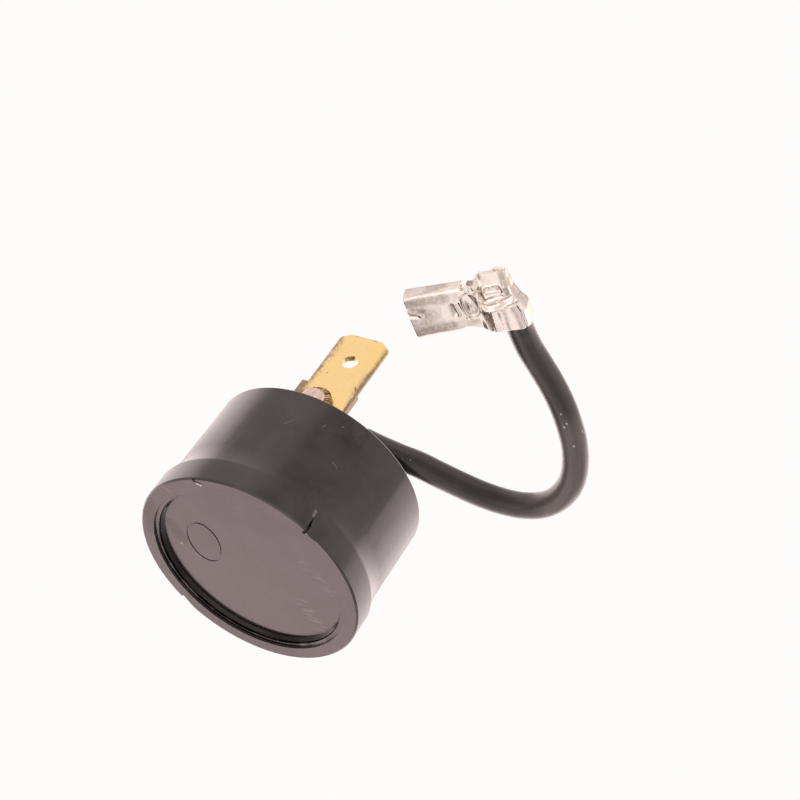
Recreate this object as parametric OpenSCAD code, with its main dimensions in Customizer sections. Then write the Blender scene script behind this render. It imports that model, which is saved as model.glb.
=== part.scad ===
// Compressor overload protector: a moulded case with a snap disc inside, a blade
// terminal and a short insulated lead that ends in a flag receptacle.
// The case stands on its flanged rim, with the terminals on its upper end.
// All sizes are in millimetres.

/* [Case] */
// Diameter of the flange at the rim
flange_d = 27.2; // [26:0.1:30]
// Height of the straight part of the flange
flange_h = 3; // [2:0.1:5]
// Diameter of the barrel above the flange
barrel_d = 25.9; // [24.6:0.1:26]
// Narrowing of the barrel's diameter up to its top, for the mould
draft = 0.3; // [0:0.05:0.6]
// Height of the whole case
case_h = 15.8; // [14.8:0.1:18]
// Height over which the flange runs out into the barrel
flare_h = 3.6; // [1:0.1:5]
// Thickness of the case's upper wall
top_wall = 3; // [2:0.1:3.4]
// Thickness of the barrel's wall beside the inner space
barrel_wall = 2.2; // [1.6:0.1:2.4]
// Bevel along the outer edges
edge = 0.2; // [0.1:0.05:0.4]
// Radial depth of the stepped notch in the flange
notch_depth = 0.55; // [0.2:0.05:0.8]
// Angle that the notch takes
notch_span = 13; // [6:1:20]
// Width of the gate slit in the flange
slit_w = 0.35; // [0.2:0.05:0.8]
// Height of the gate slit
slit_h = 1.9; // [1:0.1:4]

/* [Cover] */
// Diameter of the disc that closes the mouth
cover_d = 22.8; // [21.6:0.1:23]
// Thickness of the cover disc
cover_t = 1.2; // [0.8:0.1:1.6]
// Depth of the cover's face below the rim
cover_depth = 0.9; // [0.5:0.1:2]
// Width of the step round the mouth
ledge_w = 0.5; // [0.2:0.05:0.8]
// Depth of the step round the mouth
ledge_depth = 0.3; // [0.2:0.05:0.8]
// Width of the plain oval ring on the cover
ring_w = 4.4; // [3:0.1:5]
// Length of the plain oval ring
ring_l = 6.1; // [5:0.1:8]
// Width of the ring's groove
ring_line = 0.2; // [0.1:0.05:0.6]
// Depth of the ring's groove
ring_depth = 0.12; // [0.05:0.01:0.4]

/* [Snap disc] */
// Diameter of the bimetal disc
disc_d = 15.2; // [13:0.1:16]
// Thickness of the bimetal disc
disc_t = 0.35; // [0.2:0.05:0.5]
// Height of the disc's dish
dish = 0.4; // [0.1:0.05:0.6]
// Distance of each contact from the middle
contact_y = 4.6; // [4.4:0.1:5]
// Diameter of a contact's face on the disc
moving_contact_d = 3.8; // [3:0.1:4.2]
// Diameter of a contact's face on the case
fixed_contact_d = 4.4; // [3:0.1:5]
// Thickness of the fixed contact's face
fixed_contact_t = 1.2; // [0.6:0.1:1.4]
// Distance from the contacts' meeting plane to the rim
contact_z = 7.05; // [6.9:0.05:7.6]
// Thickness of a moving contact's face
moving_contact_t = 0.8; // [0.6:0.05:1]
// Diameter of the rivets that hold the contacts
contact_shank_d = 2.4; // [1.6:0.1:2.8]

/* [Adjusting screw] */
// Diameter of the screw that carries the disc
screw_d = 3; // [2.5:0.1:3.2]
// Diameter of the screw's head
screw_head_d = 5.4; // [5.2:0.1:6]
// Thickness of the screw's head
screw_head_t = 1; // [0.6:0.1:1.2]
// Diameter of the threaded insert
insert_d = 4.4; // [4:0.1:5]
// Length of the threaded insert
insert_l = 5; // [4:0.1:5.4]
// Height of the drop of sealing varnish
seal_h = 0.5; // [0.2:0.1:0.8]
// Mean diameter of the disc's spring
spring_d = 4.6; // [4.4:0.1:4.8]
// Diameter of the spring's wire
spring_wire = 0.35; // [0.2:0.05:0.4]
// Height of the spring between the screw's head and the disc
spring_h = 1.5; // [1.4:0.1:2]
// Number of the spring's turns
spring_turns = 2.25; // [1.5:0.25:2.5]

/* [Heater] */
// Mean diameter of the heater's turns
heater_d = 18.4; // [17.6:0.1:19]
// Diameter of the heater's wire
heater_wire_d = 0.9; // [0.5:0.1:1]
// Width of the two straps that the heater is welded to
strap_w = 3; // [2:0.1:3.4]
// Thickness of the straps
strap_t = 0.5; // [0.3:0.1:0.6]

/* [Blade terminal] */
// Width of the blade
blade_w = 6.35; // [4.8:0.05:6.4]
// Thickness of the blade
blade_t = 0.8; // [0.5:0.05:1]
// Length of the blade from its shoulders to its tip
blade_l = 8.3; // [7:0.1:9]
// Step of the blade's left shoulder
shoulder_left = 0.6; // [0.4:0.05:1]
// Step of the blade's right shoulder
shoulder_right = 0.2; // [0.1:0.05:1]
// Height of the shoulders above the case
shoulder_h = 5.7; // [5.2:0.1:7]
// Distance from the case's axis to the blade's front face
blade_y = 8.1; // [7.8:0.1:8.6]
// Width of the cut at each corner of the tip
tip_cut_w = 1.2; // [0.6:0.1:1.6]
// Height of the cut at each corner of the tip
tip_cut_h = 0.85; // [0.4:0.05:1.2]
// Width of the bevel along the blade's edges
blade_bevel = 0.35; // [0.1:0.05:0.6]
// Diameter of the hole in the blade
blade_hole_d = 1.9; // [1.4:0.05:2.2]
// Distance from the blade's tip to its hole
blade_hole_drop = 4.05; // [3:0.05:5]
// Width of the bracket behind the blade
bracket_w = 4; // [3.8:0.1:4.4]
// Thickness of the bracket
bracket_t = 0.8; // [0.5:0.1:0.9]
// Height of the bracket's upright
bracket_h = 5.1; // [4.6:0.1:6]
// Diameter of the rivet's front head on the blade
tab_rivet_head_d = 3.8; // [2.4:0.1:4.4]
// Height of the rivet's front head
tab_rivet_head_h = 0.9; // [0.4:0.1:1.2]
// Height of the rivet above the case
tab_rivet_z = 2.8; // [2.7:0.05:3.2]
// Distance of the rivet to the left of the blade's middle
tab_rivet_x = 0.4; // [0:0.05:0.5]

/* [Lead] */
// Outer diameter of the lead's insulation
lead_d = 2.9; // [2.4:0.1:3.2]
// Diameter of the bared strands
strand_d = 1.3; // [1:0.1:1.6]
// Diameter of the insulation where the flag's barrel squeezes it
squeezed_d = 2.6; // [2.2:0.1:2.8]
// Thickness of the strip that the lead's terminal is stamped from
lug_t = 0.5; // [0.4:0.1:0.6]
// Width of the lead's terminal
lug_w = 4.2; // [3:0.1:4.6]
// Length of the crimped barrel on the lead's terminal
lug_barrel_l = 2.4; // [1.8:0.1:2.6]
// Distance from the barrel back to the terminal's rivet
lug_reach = 7; // [6.8:0.1:7.4]
// Distance of the terminal's rivet to the right of the barrel's middle
lug_offset = 2; // [1.8:0.1:2.4]
// Diameter of the terminal's rivet heads
lug_rivet_head_d = 3.4; // [2.8:0.1:3.6]

/* [Flag receptacle] */
// Width over the rolled edges
flag_w = 5.9; // [5.6:0.1:7]
// Length of the upper rolled edge
flag_l = 6.3; // [5:0.1:7]
// Height over the rolled edges
roll_h = 1.75; // [1.6:0.05:2.2]
// Outer radius of the rolled edges
roll_r = 0.6; // [0.5:0.05:0.7]
// Thickness of the sheet that it is folded from
flag_t = 0.35; // [0.3:0.05:0.45]
// Width of the flattened barrel on the strands
wire_crimp_w = 3.3; // [2.8:0.1:3.6]
// Thickness of the flattened barrel on the strands
wire_crimp_h = 2.6; // [2.5:0.1:2.8]
// Length of the barrel on the strands
wire_crimp_l = 3.2; // [2.6:0.1:3.6]
// Length of the barrel on the insulation
grip_l = 3.1; // [2.8:0.1:3.4]

/* [Hidden] */
$fn = 64;
tiny = 0.01;
// Play of a pin in its hole, and of a disc in its seat
play = 0.05;

flange_r = flange_d / 2;
barrel_r = barrel_d / 2;
barrel_top_r = barrel_r - draft / 2;
cavity_r = barrel_r - barrel_wall;
ceiling_z = case_h - top_wall;
mouth_r = cover_d / 2 + play;
seat_z = cover_depth + cover_t;
flare_steps = 8;
notch_steps = 6;
ring_x = -5.85;
ring_y = -1.5;
ring_steps = 40;
notch_angle = 129;
slit_angle = 313.8;
slit_depth = 0.85;
// Angle past the slit and radial depth of each corner of the shallow recess beside it
gate_dips = [[0, 0.2], [3.6, 0.5], [6.4, 0.3], [8.2, 0]];

strap_b_z = contact_z + fixed_contact_t;
boss_r = contact_y - screw_d / 2 - 0.3;
boss_a_z = strap_b_z;
boss_b_z = strap_b_z + strap_t;
rivet_head_h = 0.6;
contact_head_d = 3.2;

disc_r = disc_d / 2;
disc_steps = 8;
disc_hole_r = screw_d / 2 + 0.4;
moving_shank_d = 1.6;
moving_tail_d = 2.4;
moving_tail_h = 0.4;
// Height of the disc's underside above the middle of its dish, at a radius
function dish_at(r) = dish * pow(r / disc_r, 2);
contact_outer_r = contact_y + moving_contact_d / 2;
disc_z = contact_z - moving_contact_t - disc_t - dish_at(contact_outer_r);
screw_head_top = disc_z - spring_h;
screw_top = case_h - 0.3;
screw_slot_w = 0.6;
screw_slot_h = 0.6;
hub_r = insert_d / 2 + 0.7;
hub_z = case_h - insert_l;

heater_r = heater_d / 2;
weld_gap = 0.05;
heater_low = boss_b_z + heater_wire_d / 2 + weld_gap;
heater_high = ceiling_z - strap_t - heater_wire_d / 2 - weld_gap;
strap_end = 0.5;

blade_tip_z = case_h + shoulder_h + blade_l;
blade_back = blade_y - blade_t;
bracket_back = blade_back - bracket_t;
bracket_foot_end = contact_y - contact_head_d / 2 - 0.4;
tab_shank_d = 1.8;
tab_rear_head_h = 0.5;
tab_rear_head_d = 2.6;

// Bends of the lead, from the terminal on the case to the flag receptacle, as measured
// from the middle of the case's top
bends_on_top = [
    [5.7, -5.2, 1.9], [7.4, -4.7, 1.9], [9.7, -3.8, 2.2], [11.8, -2.8, 2.7], [13.9, -1.6, 3.1],
    [16, -0.3, 3.6], [18, 1, 4.2], [20.1, 2, 4.8], [22.5, 2.4, 5.3], [24.9, 1.9, 5.7],
    [26.9, 0.6, 6.2], [28.3, -1.4, 6.9], [28.8, -3.6, 7.7], [28.5, -5.9, 8.7], [27.6, -8, 9.7],
    [26.6, -10.1, 10.4], [25.5, -12.3, 10.8], [24.4, -14.4, 11], [23.3, -16.7, 11.1], [22.5, -19, 11.3]
];
lead_bends = [for (p = bends_on_top) p + [0, 0, case_h]];
lead_sides = 8;
lug_turn = atan2(lead_bends[1][1] - lead_bends[0][1], lead_bends[1][0] - lead_bends[0][0]);
lug_gap = 0.2;
lug_half = lug_barrel_l / 2 + lug_gap;
lug_axis = [cos(lug_turn), sin(lug_turn), 0];
lug_side = [-sin(lug_turn), cos(lug_turn), 0];
lug_centre = lead_bends[0] - lug_half * lug_axis;
lug_barrel_r = strand_d / 2 + play + lug_t;
lug_rivet_xy = lug_centre + lug_offset * lug_axis + lug_reach * lug_side;
lug_rivet_d = 2.2;
lug_rivet_angle = atan2(lug_rivet_xy[1], lug_rivet_xy[0]);
lug_rivet_r = norm([lug_rivet_xy[0], lug_rivet_xy[1]]);

// The flag's own frame: origin on the wire's axis, Y back along the wire
flag_at = lead_bends[len(lead_bends) - 1];
flag_yaw = -10;
flag_pitch = -21;
flag_dir = [sin(flag_yaw), -cos(flag_yaw), 0];
grip_start = 1.2;
grip_end = grip_start + grip_l;
wire_crimp_start = grip_end + 0.3;
wire_crimp_end = wire_crimp_start + wire_crimp_l;
lead_end = grip_end - 0.1;
strand_x = -0.4;
grip_bore_r = squeezed_d / 2 + play;
grip_r = grip_bore_r + flag_t;
grip_spread = 0.75;
wire_crimp_x = -1;
wire_crimp_z = -0.2;
flag_centre_y = -4.8;
flag_rear_x = -4.4;
lower_roll_cut = 0.9;
flag_mouth_x = flag_rear_x - flag_l;
flag_back_z = -1.6;
flat_half = flag_w / 2 - roll_r;
window_w = 1.7;
window_l = 3.2;
window_at = [-3.9, -5.2];
window_lap = 0.1;
dimple_w = 0.5;
dimple_l = 1.8;
dimple_at = [-5.8, -5];
dimple_depth = 0.2;
pocket_w = 2.2;
pocket_l = 1;
pocket_at = [-1.3, -6.4];
pocket_depth = 0.3;
crease_depth = 0.25;
seam_w = 0.2;
seam_angle = -50;

// The insulation is round up to the flag's barrel, and squeezed inside it
squeeze_start = grip_start - 0.5;
squeeze_end = grip_start - play;
lead_route = concat(
    lead_bends,
    [for (d = [squeeze_start, squeeze_end, lead_end]) flag_at + d * flag_dir]
);
lead_radii = concat(
    [for (i = [0 : len(lead_bends)]) lead_d / 2],
    [squeezed_d / 2, squeezed_d / 2]
);

// A round tube or wire swept along points, with a radius for each and flat ends
module swept(route, radii, sides) {
    last = len(route) - 1;
    function along(i) =
        let (d = route[min(i + 1, last)] - route[max(i - 1, 0)]) d / norm(d);
    function side(i) = let (s = cross(along(i), [0, 0, 1])) s / norm(s);
    function over(i) = cross(side(i), along(i));
    points = [
        for (i = [0 : last]) for (k = [0 : sides - 1])
            route[i] + radii[i] * (cos(360 * k / sides) * side(i) + sin(360 * k / sides) * over(i))
    ];
    walls = [
        for (i = [0 : last - 1]) for (k = [0 : sides - 1])
            let (a = i * sides + k, b = i * sides + (k + 1) % sides)
                [a, a + sides, b + sides, b]
    ];
    near_end = [for (k = [0 : sides - 1]) k];
    far_end = [for (k = [sides - 1 : -1 : 0]) last * sides + k];
    polyhedron(points, concat([near_end], walls, [far_end]), convexity = 8);
}

// A rod along Z with a head at its lower end and one at its upper end
module rivet(shank_d, shank_l, low_d, low_h, high_d, high_h) {
    translate([0, 0, -low_h]) cylinder(d = low_d, h = low_h);
    cylinder(d = shank_d, h = shank_l);
    translate([0, 0, shank_l]) cylinder(d1 = high_d, d2 = high_d - high_h, h = high_h);
}

// A flat outline with round ends, along Y
module oval(w, l) {
    for (y = [-1, 1]) translate([0, y * (l - w) / 2]) circle(d = w);
    square([w, l - w], center = true);
}

// An ellipse drawn with straight steps, long along Y
module egg(w, l) {
    polygon([
        for (i = [0 : ring_steps - 1])
            let (a = 360 * i / ring_steps) [w / 2 * cos(a), l / 2 * sin(a)]
    ]);
}

// Housing
function flare_r(t) = barrel_r + (flange_r - barrel_r) * pow(1 - t, 2);

module case_section() {
    flare = [
        for (i = [0 : flare_steps])
            [flare_r(i / flare_steps), flange_h + flare_h * i / flare_steps]
    ];
    polygon(concat(
        [[mouth_r + ledge_w, 0], [flange_r - edge, 0], [flange_r, edge]],
        flare,
        [[barrel_top_r, case_h - edge], [barrel_top_r - edge, case_h], [0, case_h], [0, ceiling_z],
         [cavity_r, ceiling_z], [cavity_r, seat_z], [mouth_r, seat_z], [mouth_r, ledge_depth],
         [mouth_r + ledge_w, ledge_depth]]
    ));
}

module notch(start) {
    ramp = [
        for (i = [0 : notch_steps])
            let (r = flange_r - notch_depth * i / notch_steps, a = notch_span * i / notch_steps)
                [r * cos(a), r * sin(a)]
    ];
    far = flange_r + 1;
    rotate(start) translate([0, 0, -tiny]) linear_extrude(flange_h)
        polygon(concat(ramp, [[far * cos(notch_span), far * sin(notch_span)], [far, 0]]));
}

module gate_recess() {
    far = flange_r + 1;
    last = gate_dips[len(gate_dips) - 1][0];
    dips = [for (d = gate_dips) (flange_r - d[1]) * [cos(d[0]), sin(d[0])]];
    rotate(slit_angle) translate([0, 0, -tiny]) linear_extrude(slit_h)
        polygon(concat(dips, [[far * cos(last), far * sin(last)], [far, 0]]));
}

module housing() {
    color("#3a3334") difference() {
        union() {
            rotate_extrude() case_section();
            translate([0, -contact_y, boss_a_z]) cylinder(r = boss_r, h = ceiling_z - boss_a_z + tiny);
            translate([0, contact_y, boss_b_z]) cylinder(r = boss_r, h = ceiling_z - boss_b_z + tiny);
            translate([0, 0, hub_z]) cylinder(r = hub_r, h = ceiling_z - hub_z + tiny);
        }
        notch(notch_angle);
        gate_recess();
        rotate(slit_angle) translate([flange_r - slit_depth, -slit_w / 2, -tiny])
            cube([slit_depth + 1, slit_w, slit_h]);
        for (y = [-1, 1]) translate([0, y * contact_y, contact_z])
            cylinder(d = contact_shank_d + 2 * play, h = case_h);
        translate([0, 0, hub_z - tiny]) cylinder(d = insert_d + 2 * play, h = insert_l + 1);
        translate([lug_rivet_xy[0], lug_rivet_xy[1], contact_z])
            cylinder(d = lug_rivet_d + 2 * play, h = case_h);
    }
}

// Cover
module cover_disc() {
    bevel = 0.3;
    color("#453d3e") difference() {
        translate([0, 0, cover_depth]) {
            translate([0, 0, bevel]) cylinder(d = cover_d, h = cover_t - bevel);
            cylinder(d1 = cover_d - 2 * bevel, d2 = cover_d, h = bevel + tiny);
        }
        translate([ring_x, ring_y, cover_depth - tiny]) linear_extrude(ring_depth + tiny) difference() {
            egg(ring_w, ring_l);
            egg(ring_w - 2 * ring_line, ring_l - 2 * ring_line);
        }
    }
}

// Snap disc and its contacts
module bimetal_disc() {
    radii = [for (i = [0 : disc_steps]) disc_hole_r + (disc_r - disc_hole_r) * i / disc_steps];
    under = [for (r = radii) [r, dish_at(r)]];
    over = [for (i = [disc_steps : -1 : 0]) [radii[i], dish_at(radii[i]) + disc_t]];
    color("#a9a39a") difference() {
        translate([0, 0, disc_z]) rotate_extrude() polygon(concat(under, over));
        for (y = [-1, 1]) translate([0, y * contact_y, disc_z - 1])
            cylinder(d = moving_shank_d + 2 * play, h = 3);
    }
}

module moving_contact() {
    tail_top = disc_z + dish_at(contact_y - moving_tail_d / 2);
    translate([0, 0, contact_z - moving_contact_t]) cylinder(d = moving_contact_d, h = moving_contact_t);
    translate([0, 0, tail_top]) cylinder(d = moving_shank_d, h = contact_z - tail_top - tiny);
    translate([0, 0, tail_top - moving_tail_h]) cylinder(d = moving_tail_d, h = moving_tail_h + tiny);
}

module moving_contact_a() { color("#d8d8d4") translate([0, -contact_y, 0]) moving_contact(); }

module moving_contact_b() { color("#d8d8d4") translate([0, contact_y, 0]) moving_contact(); }

module fixed_contact(outer_z) {
    translate([0, 0, contact_z + fixed_contact_t])
        rivet(contact_shank_d, outer_z - contact_z - fixed_contact_t,
              fixed_contact_d, fixed_contact_t, contact_head_d, rivet_head_h);
}

module fixed_contact_a() {
    color("#c9b08a") translate([0, -contact_y, 0]) fixed_contact(case_h + bracket_t);
}

module fixed_contact_b() {
    color("#c9b08a") translate([0, contact_y, 0]) fixed_contact(case_h);
}

// Heater and the straps that carry its ends
module strap(reach, hole_d) {
    linear_extrude(strap_t) difference() {
        union() {
            circle(d = strap_w);
            translate([0, -strap_w / 2]) square([reach, strap_w]);
        }
        circle(d = hole_d + 2 * play);
    }
}

module contact_strap() {
    color("#b7b4ae") translate([0, contact_y, strap_b_z]) rotate(90)
        strap(heater_r + strap_end - contact_y, contact_shank_d);
}

module lead_strap() {
    color("#b7b4ae") translate([lug_rivet_xy[0], lug_rivet_xy[1], ceiling_z - strap_t])
        rotate(lug_rivet_angle) strap(heater_r + strap_end - lug_rivet_r, lug_rivet_d);
}

module heater_wire() {
    start = 90;
    sweep = 360 + lug_rivet_angle + 360 - start;
    rings = 44;
    route = [
        for (i = [0 : rings]) let (a = start + sweep * i / rings)
            [heater_r * cos(a), heater_r * sin(a), heater_low + (heater_high - heater_low) * i / rings]
    ];
    color("#8f8a86") swept(route, [for (i = [0 : rings]) heater_wire_d / 2], 8);
}

// Adjusting screw, its insert, the disc's spring and the sealing varnish
module adjusting_screw() {
    color("#b9b2a4") difference() {
        union() {
            translate([0, 0, screw_head_top - screw_head_t]) cylinder(d = screw_head_d, h = screw_head_t);
            translate([0, 0, screw_head_top - tiny]) cylinder(d = screw_d, h = screw_top - screw_head_top);
        }
        translate([-screw_d, -screw_slot_w / 2, screw_top - screw_slot_h])
            cube([2 * screw_d, screw_slot_w, screw_slot_h + 1]);
    }
}

module screw_insert() {
    color("#d2a658") translate([0, 0, hub_z]) difference() {
        cylinder(d = insert_d, h = insert_l);
        translate([0, 0, -tiny]) cylinder(d = screw_d + play, h = insert_l + 1);
    }
}

module disc_spring() {
    rise = spring_h - spring_wire - 2 * weld_gap;
    low = screw_head_top + spring_wire / 2 + weld_gap;
    rings = 36;
    route = [
        for (i = [0 : rings]) let (a = 360 * spring_turns * i / rings)
            [spring_d / 2 * cos(a), spring_d / 2 * sin(a), low + rise * i / rings]
    ];
    color("#9c9a96") swept(route, [for (i = [0 : rings]) spring_wire / 2], 6);
}

module screw_seal() {
    color("#9a2f2a") translate([0, 0, case_h])
        cylinder(d1 = insert_d - 0.2, d2 = insert_d - 1.6, h = seal_h);
}

// Blade terminal
module blade_outline() {
    low = case_h;
    shoulder = case_h + shoulder_h;
    half = blade_w / 2;
    left = -half - shoulder_left;
    right = half + shoulder_right;
    polygon([
        [left, low], [right, low], [right, shoulder], [half, shoulder],
        [half, blade_tip_z - tip_cut_h], [half - tip_cut_w, blade_tip_z], [-half + tip_cut_w, blade_tip_z],
        [-half, blade_tip_z - tip_cut_h], [-half, shoulder], [left, shoulder]
    ]);
}

// The blade's cross-section, with all four long edges bevelled
module blade_section(w) {
    flat = w / 2 - blade_bevel;
    step = blade_t / 4;
    polygon([
        [-flat, 0], [flat, 0], [w / 2, step], [w / 2, blade_t - step],
        [flat, blade_t], [-flat, blade_t], [-w / 2, blade_t - step], [-w / 2, step]
    ]);
}

module spade_tab() {
    shoulder = case_h + shoulder_h;
    color("#e0b45c") difference() {
        translate([0, -blade_y, 0]) intersection() {
            translate([0, blade_t, 0]) rotate([90, 0, 0]) linear_extrude(blade_t) blade_outline();
            union() {
                translate([0, 0, shoulder - tiny]) linear_extrude(blade_l + 1) blade_section(blade_w);
                translate([-blade_w, 0, case_h]) cube([2 * blade_w, blade_t, shoulder_h]);
            }
        }
        translate([0, -blade_y - 1, blade_tip_z - blade_hole_drop]) rotate([-90, 0, 0])
            cylinder(d = blade_hole_d, h = blade_t + 2);
        translate([-tab_rivet_x, -blade_y - 1, case_h + tab_rivet_z]) rotate([-90, 0, 0])
            cylinder(d = tab_shank_d + 2 * play, h = blade_t + 2);
    }
}

module tab_bracket() {
    bend = 0.2;
    color("#cfa457") difference() {
        translate([-bracket_w / 2, 0, 0]) rotate([90, 0, 90]) linear_extrude(bracket_w) difference() {
            polygon([
                [-blade_back, case_h], [-bracket_foot_end, case_h], [-bracket_foot_end, case_h + bracket_t],
                [-bracket_back + bend, case_h + bracket_t], [-bracket_back, case_h + bracket_t + bend],
                [-bracket_back, case_h + bracket_h], [-blade_back, case_h + bracket_h]
            ]);
        }
        translate([0, -contact_y, 0]) cylinder(d = contact_shank_d + 2 * play, h = 2 * case_h);
        translate([-tab_rivet_x, -blade_y, case_h + tab_rivet_z]) rotate([-90, 0, 0])
            cylinder(d = tab_shank_d + 2 * play, h = blade_t + bracket_t + bend + 1);
    }
}

module tab_rivet() {
    edge_cut = 0.2;
    color("#dfc3b6") translate([-tab_rivet_x, -blade_y, case_h + tab_rivet_z]) rotate([-90, 0, 0]) {
        translate([0, 0, -tab_rivet_head_h])
            cylinder(d1 = tab_rivet_head_d - 2 * edge_cut, d2 = tab_rivet_head_d, h = edge_cut + tiny);
        rivet(tab_shank_d, blade_t + bracket_t, tab_rivet_head_d, tab_rivet_head_h - edge_cut,
              tab_rear_head_d, tab_rear_head_h);
    }
}

// Terminal that the lead is crimped into, and its rivet
module lug_section() {
    centre = lug_centre[2] - case_h;
    difference() {
        union() {
            translate([0, centre]) circle(r = lug_barrel_r);
            translate([lug_barrel_r - lug_t, 0]) square([lug_t, centre]);
        }
        translate([0, centre]) circle(d = strand_d + 2 * play);
    }
}

module lead_terminal() {
    front = lug_barrel_r - lug_t;
    half = lug_barrel_l / 2;
    color("#c8a468") translate([lug_centre[0], lug_centre[1], case_h]) rotate(lug_turn) {
        translate([-lug_barrel_l / 2, 0, 0]) rotate([90, 0, 90]) linear_extrude(lug_barrel_l) lug_section();
        linear_extrude(lug_t) difference() {
            union() {
                translate([lug_offset, lug_reach]) circle(d = lug_w);
                polygon([
                    [-half, front], [half, front], [half, front + 1], [lug_offset + lug_w / 2, lug_reach],
                    [lug_offset - lug_w / 2, lug_reach], [-half, front + 1]
                ]);
            }
            translate([lug_offset, lug_reach]) circle(d = lug_rivet_d + 2 * play);
        }
    }
}

module lead_rivet() {
    inner_h = 0.7;
    color("#c9b08a") translate([lug_rivet_xy[0], lug_rivet_xy[1], ceiling_z - strap_t])
        rivet(lug_rivet_d, strap_t + top_wall + lug_t, lug_rivet_head_d, inner_h,
              lug_rivet_head_d, rivet_head_h);
}

// Lead
module terminal_strands() {
    color("#c98a5c") translate(lug_centre) rotate(lug_turn) rotate([0, 90, 0])
        translate([0, 0, -lug_half - lug_gap]) cylinder(d = strand_d, h = 2 * lug_half + lug_gap);
}

module lead() { color("#2a2627") swept(lead_route, lead_radii, lead_sides); }

// Everything at the far end is drawn in the flag's frame
module at_flag() { translate(flag_at) rotate(flag_yaw) rotate([0, flag_pitch, 0]) children(); }

module crimp_strands() {
    color("#c98a5c") at_flag() translate([strand_x, -lead_end, 0]) rotate([90, 0, 0])
        cylinder(d = strand_d, h = wire_crimp_end - lead_end - 0.2);
}

// One rolled edge, drawn for the side towards +Y, from the flat back up and round
module rolled_edge() {
    y = flat_half;
    low = flag_back_z + roll_r;
    high = flag_back_z + roll_h - roll_r;
    difference() {
        union() {
            translate([y, low]) circle(r = roll_r);
            translate([y, high]) circle(r = roll_r);
            translate([y - roll_r, low]) square([2 * roll_r, high - low]);
        }
        translate([y, low]) circle(r = roll_r - flag_t);
        translate([y, high]) circle(r = roll_r - flag_t);
        translate([y - roll_r + flag_t, low]) square([2 * (roll_r - flag_t), high - low]);
        translate([y - roll_r - 1, flag_back_z + flag_t]) square([1 + roll_r, high - flag_back_z - flag_t]);
    }
}

module flag_box() {
    translate([flag_mouth_x, flag_centre_y, 0]) rotate([90, 0, 90]) {
        linear_extrude(flag_l - lower_roll_cut) rolled_edge();
        linear_extrude(flag_l) mirror([1, 0]) rolled_edge();
        linear_extrude(flag_l - lower_roll_cut)
            translate([-flat_half, flag_back_z]) square([2 * flat_half, flag_t]);
    }
}

// The flat neck between the rolled edges and the two barrels
module flag_neck() {
    top = flag_centre_y - flat_half;
    low = flag_centre_y + flat_half;
    start = flag_rear_x - lower_roll_cut - 0.1;
    translate([0, 0, flag_back_z]) linear_extrude(flag_t) polygon([
        [start, top], [-3.4, top - 0.2], [-2.6, -wire_crimp_end], [-1, -wire_crimp_end],
        [-1, -grip_start], [-2.4, -grip_start], [-3.4, -1.9], [-4.4, -2.3], [start, low]
    ]);
}

module wire_crimp() {
    translate([0, -wire_crimp_start, 0]) rotate([90, 0, 0]) linear_extrude(wire_crimp_l)
        translate([wire_crimp_x, wire_crimp_z]) rotate(90) oval(wire_crimp_h, wire_crimp_w);
}

module insulation_grip() {
    translate([0, -grip_start, 0]) rotate([90, 0, 0]) linear_extrude(grip_l) difference() {
        translate([-grip_spread / 2, 0]) rotate(90) oval(2 * grip_r, 2 * grip_r + grip_spread);
        rotate(seam_angle) translate([0, -seam_w / 2]) square([2 * grip_r, seam_w]);
    }
}

// The wall that steps from the grip down to the strands' barrel
module grip_shoulder() {
    translate([0, -grip_end + tiny, 0]) rotate([90, 0, 0])
        linear_extrude(wire_crimp_start - grip_end + 2 * tiny)
            translate([-grip_spread / 2, 0]) rotate(90) oval(2 * grip_r, 2 * grip_r + grip_spread);
}

module flag_receptacle() {
    under = flag_back_z - tiny;
    color("#d9cec4") at_flag() difference() {
        union() {
            flag_box();
            flag_neck();
            wire_crimp();
            insulation_grip();
            grip_shoulder();
            translate([window_at[0], window_at[1], flag_back_z + flag_t - tiny]) linear_extrude(flag_t)
                oval(window_w + 2 * window_lap, window_l + 2 * window_lap);
        }
        translate([window_at[0], window_at[1], under]) linear_extrude(flag_t + tiny)
            oval(window_w, window_l);
        translate([dimple_at[0], dimple_at[1], under]) linear_extrude(dimple_depth)
            oval(dimple_w, dimple_l);
        translate([pocket_at[0] - pocket_w / 2, pocket_at[1] - pocket_l / 2, under])
            cube([pocket_w, pocket_l, pocket_depth]);
        translate([0, 0, under - 0.2]) linear_extrude(crease_depth + 0.2)
            polygon([[-2.9, -4.4], [-2, -4.1], [-2.1, -1.6], [-2.3, -1.5]]);
        translate([0, 1, 0]) rotate([90, 0, 0]) cylinder(r = grip_bore_r, h = grip_end + 1);
        translate([strand_x, 0, 0]) rotate([90, 0, 0])
            cylinder(d = strand_d + 2 * play, h = wire_crimp_end + 1);
    }
}

housing();
cover_disc();
bimetal_disc();
moving_contact_a();
moving_contact_b();
fixed_contact_a();
fixed_contact_b();
contact_strap();
heater_wire();
lead_strap();
adjusting_screw();
screw_insert();
disc_spring();
screw_seal();
tab_bracket();
spade_tab();
tab_rivet();
lead_terminal();
lead_rivet();
terminal_strands();
lead();
crimp_strands();
flag_receptacle();
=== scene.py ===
"""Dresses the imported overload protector, and builds its lead, its flag receptacle and a pale stage."""

import math

import bmesh
import bpy
import numpy as np
from bpy.props import FloatProperty, FloatVectorProperty, IntProperty, PointerProperty
from mathutils import Euler, Matrix, Vector


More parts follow.
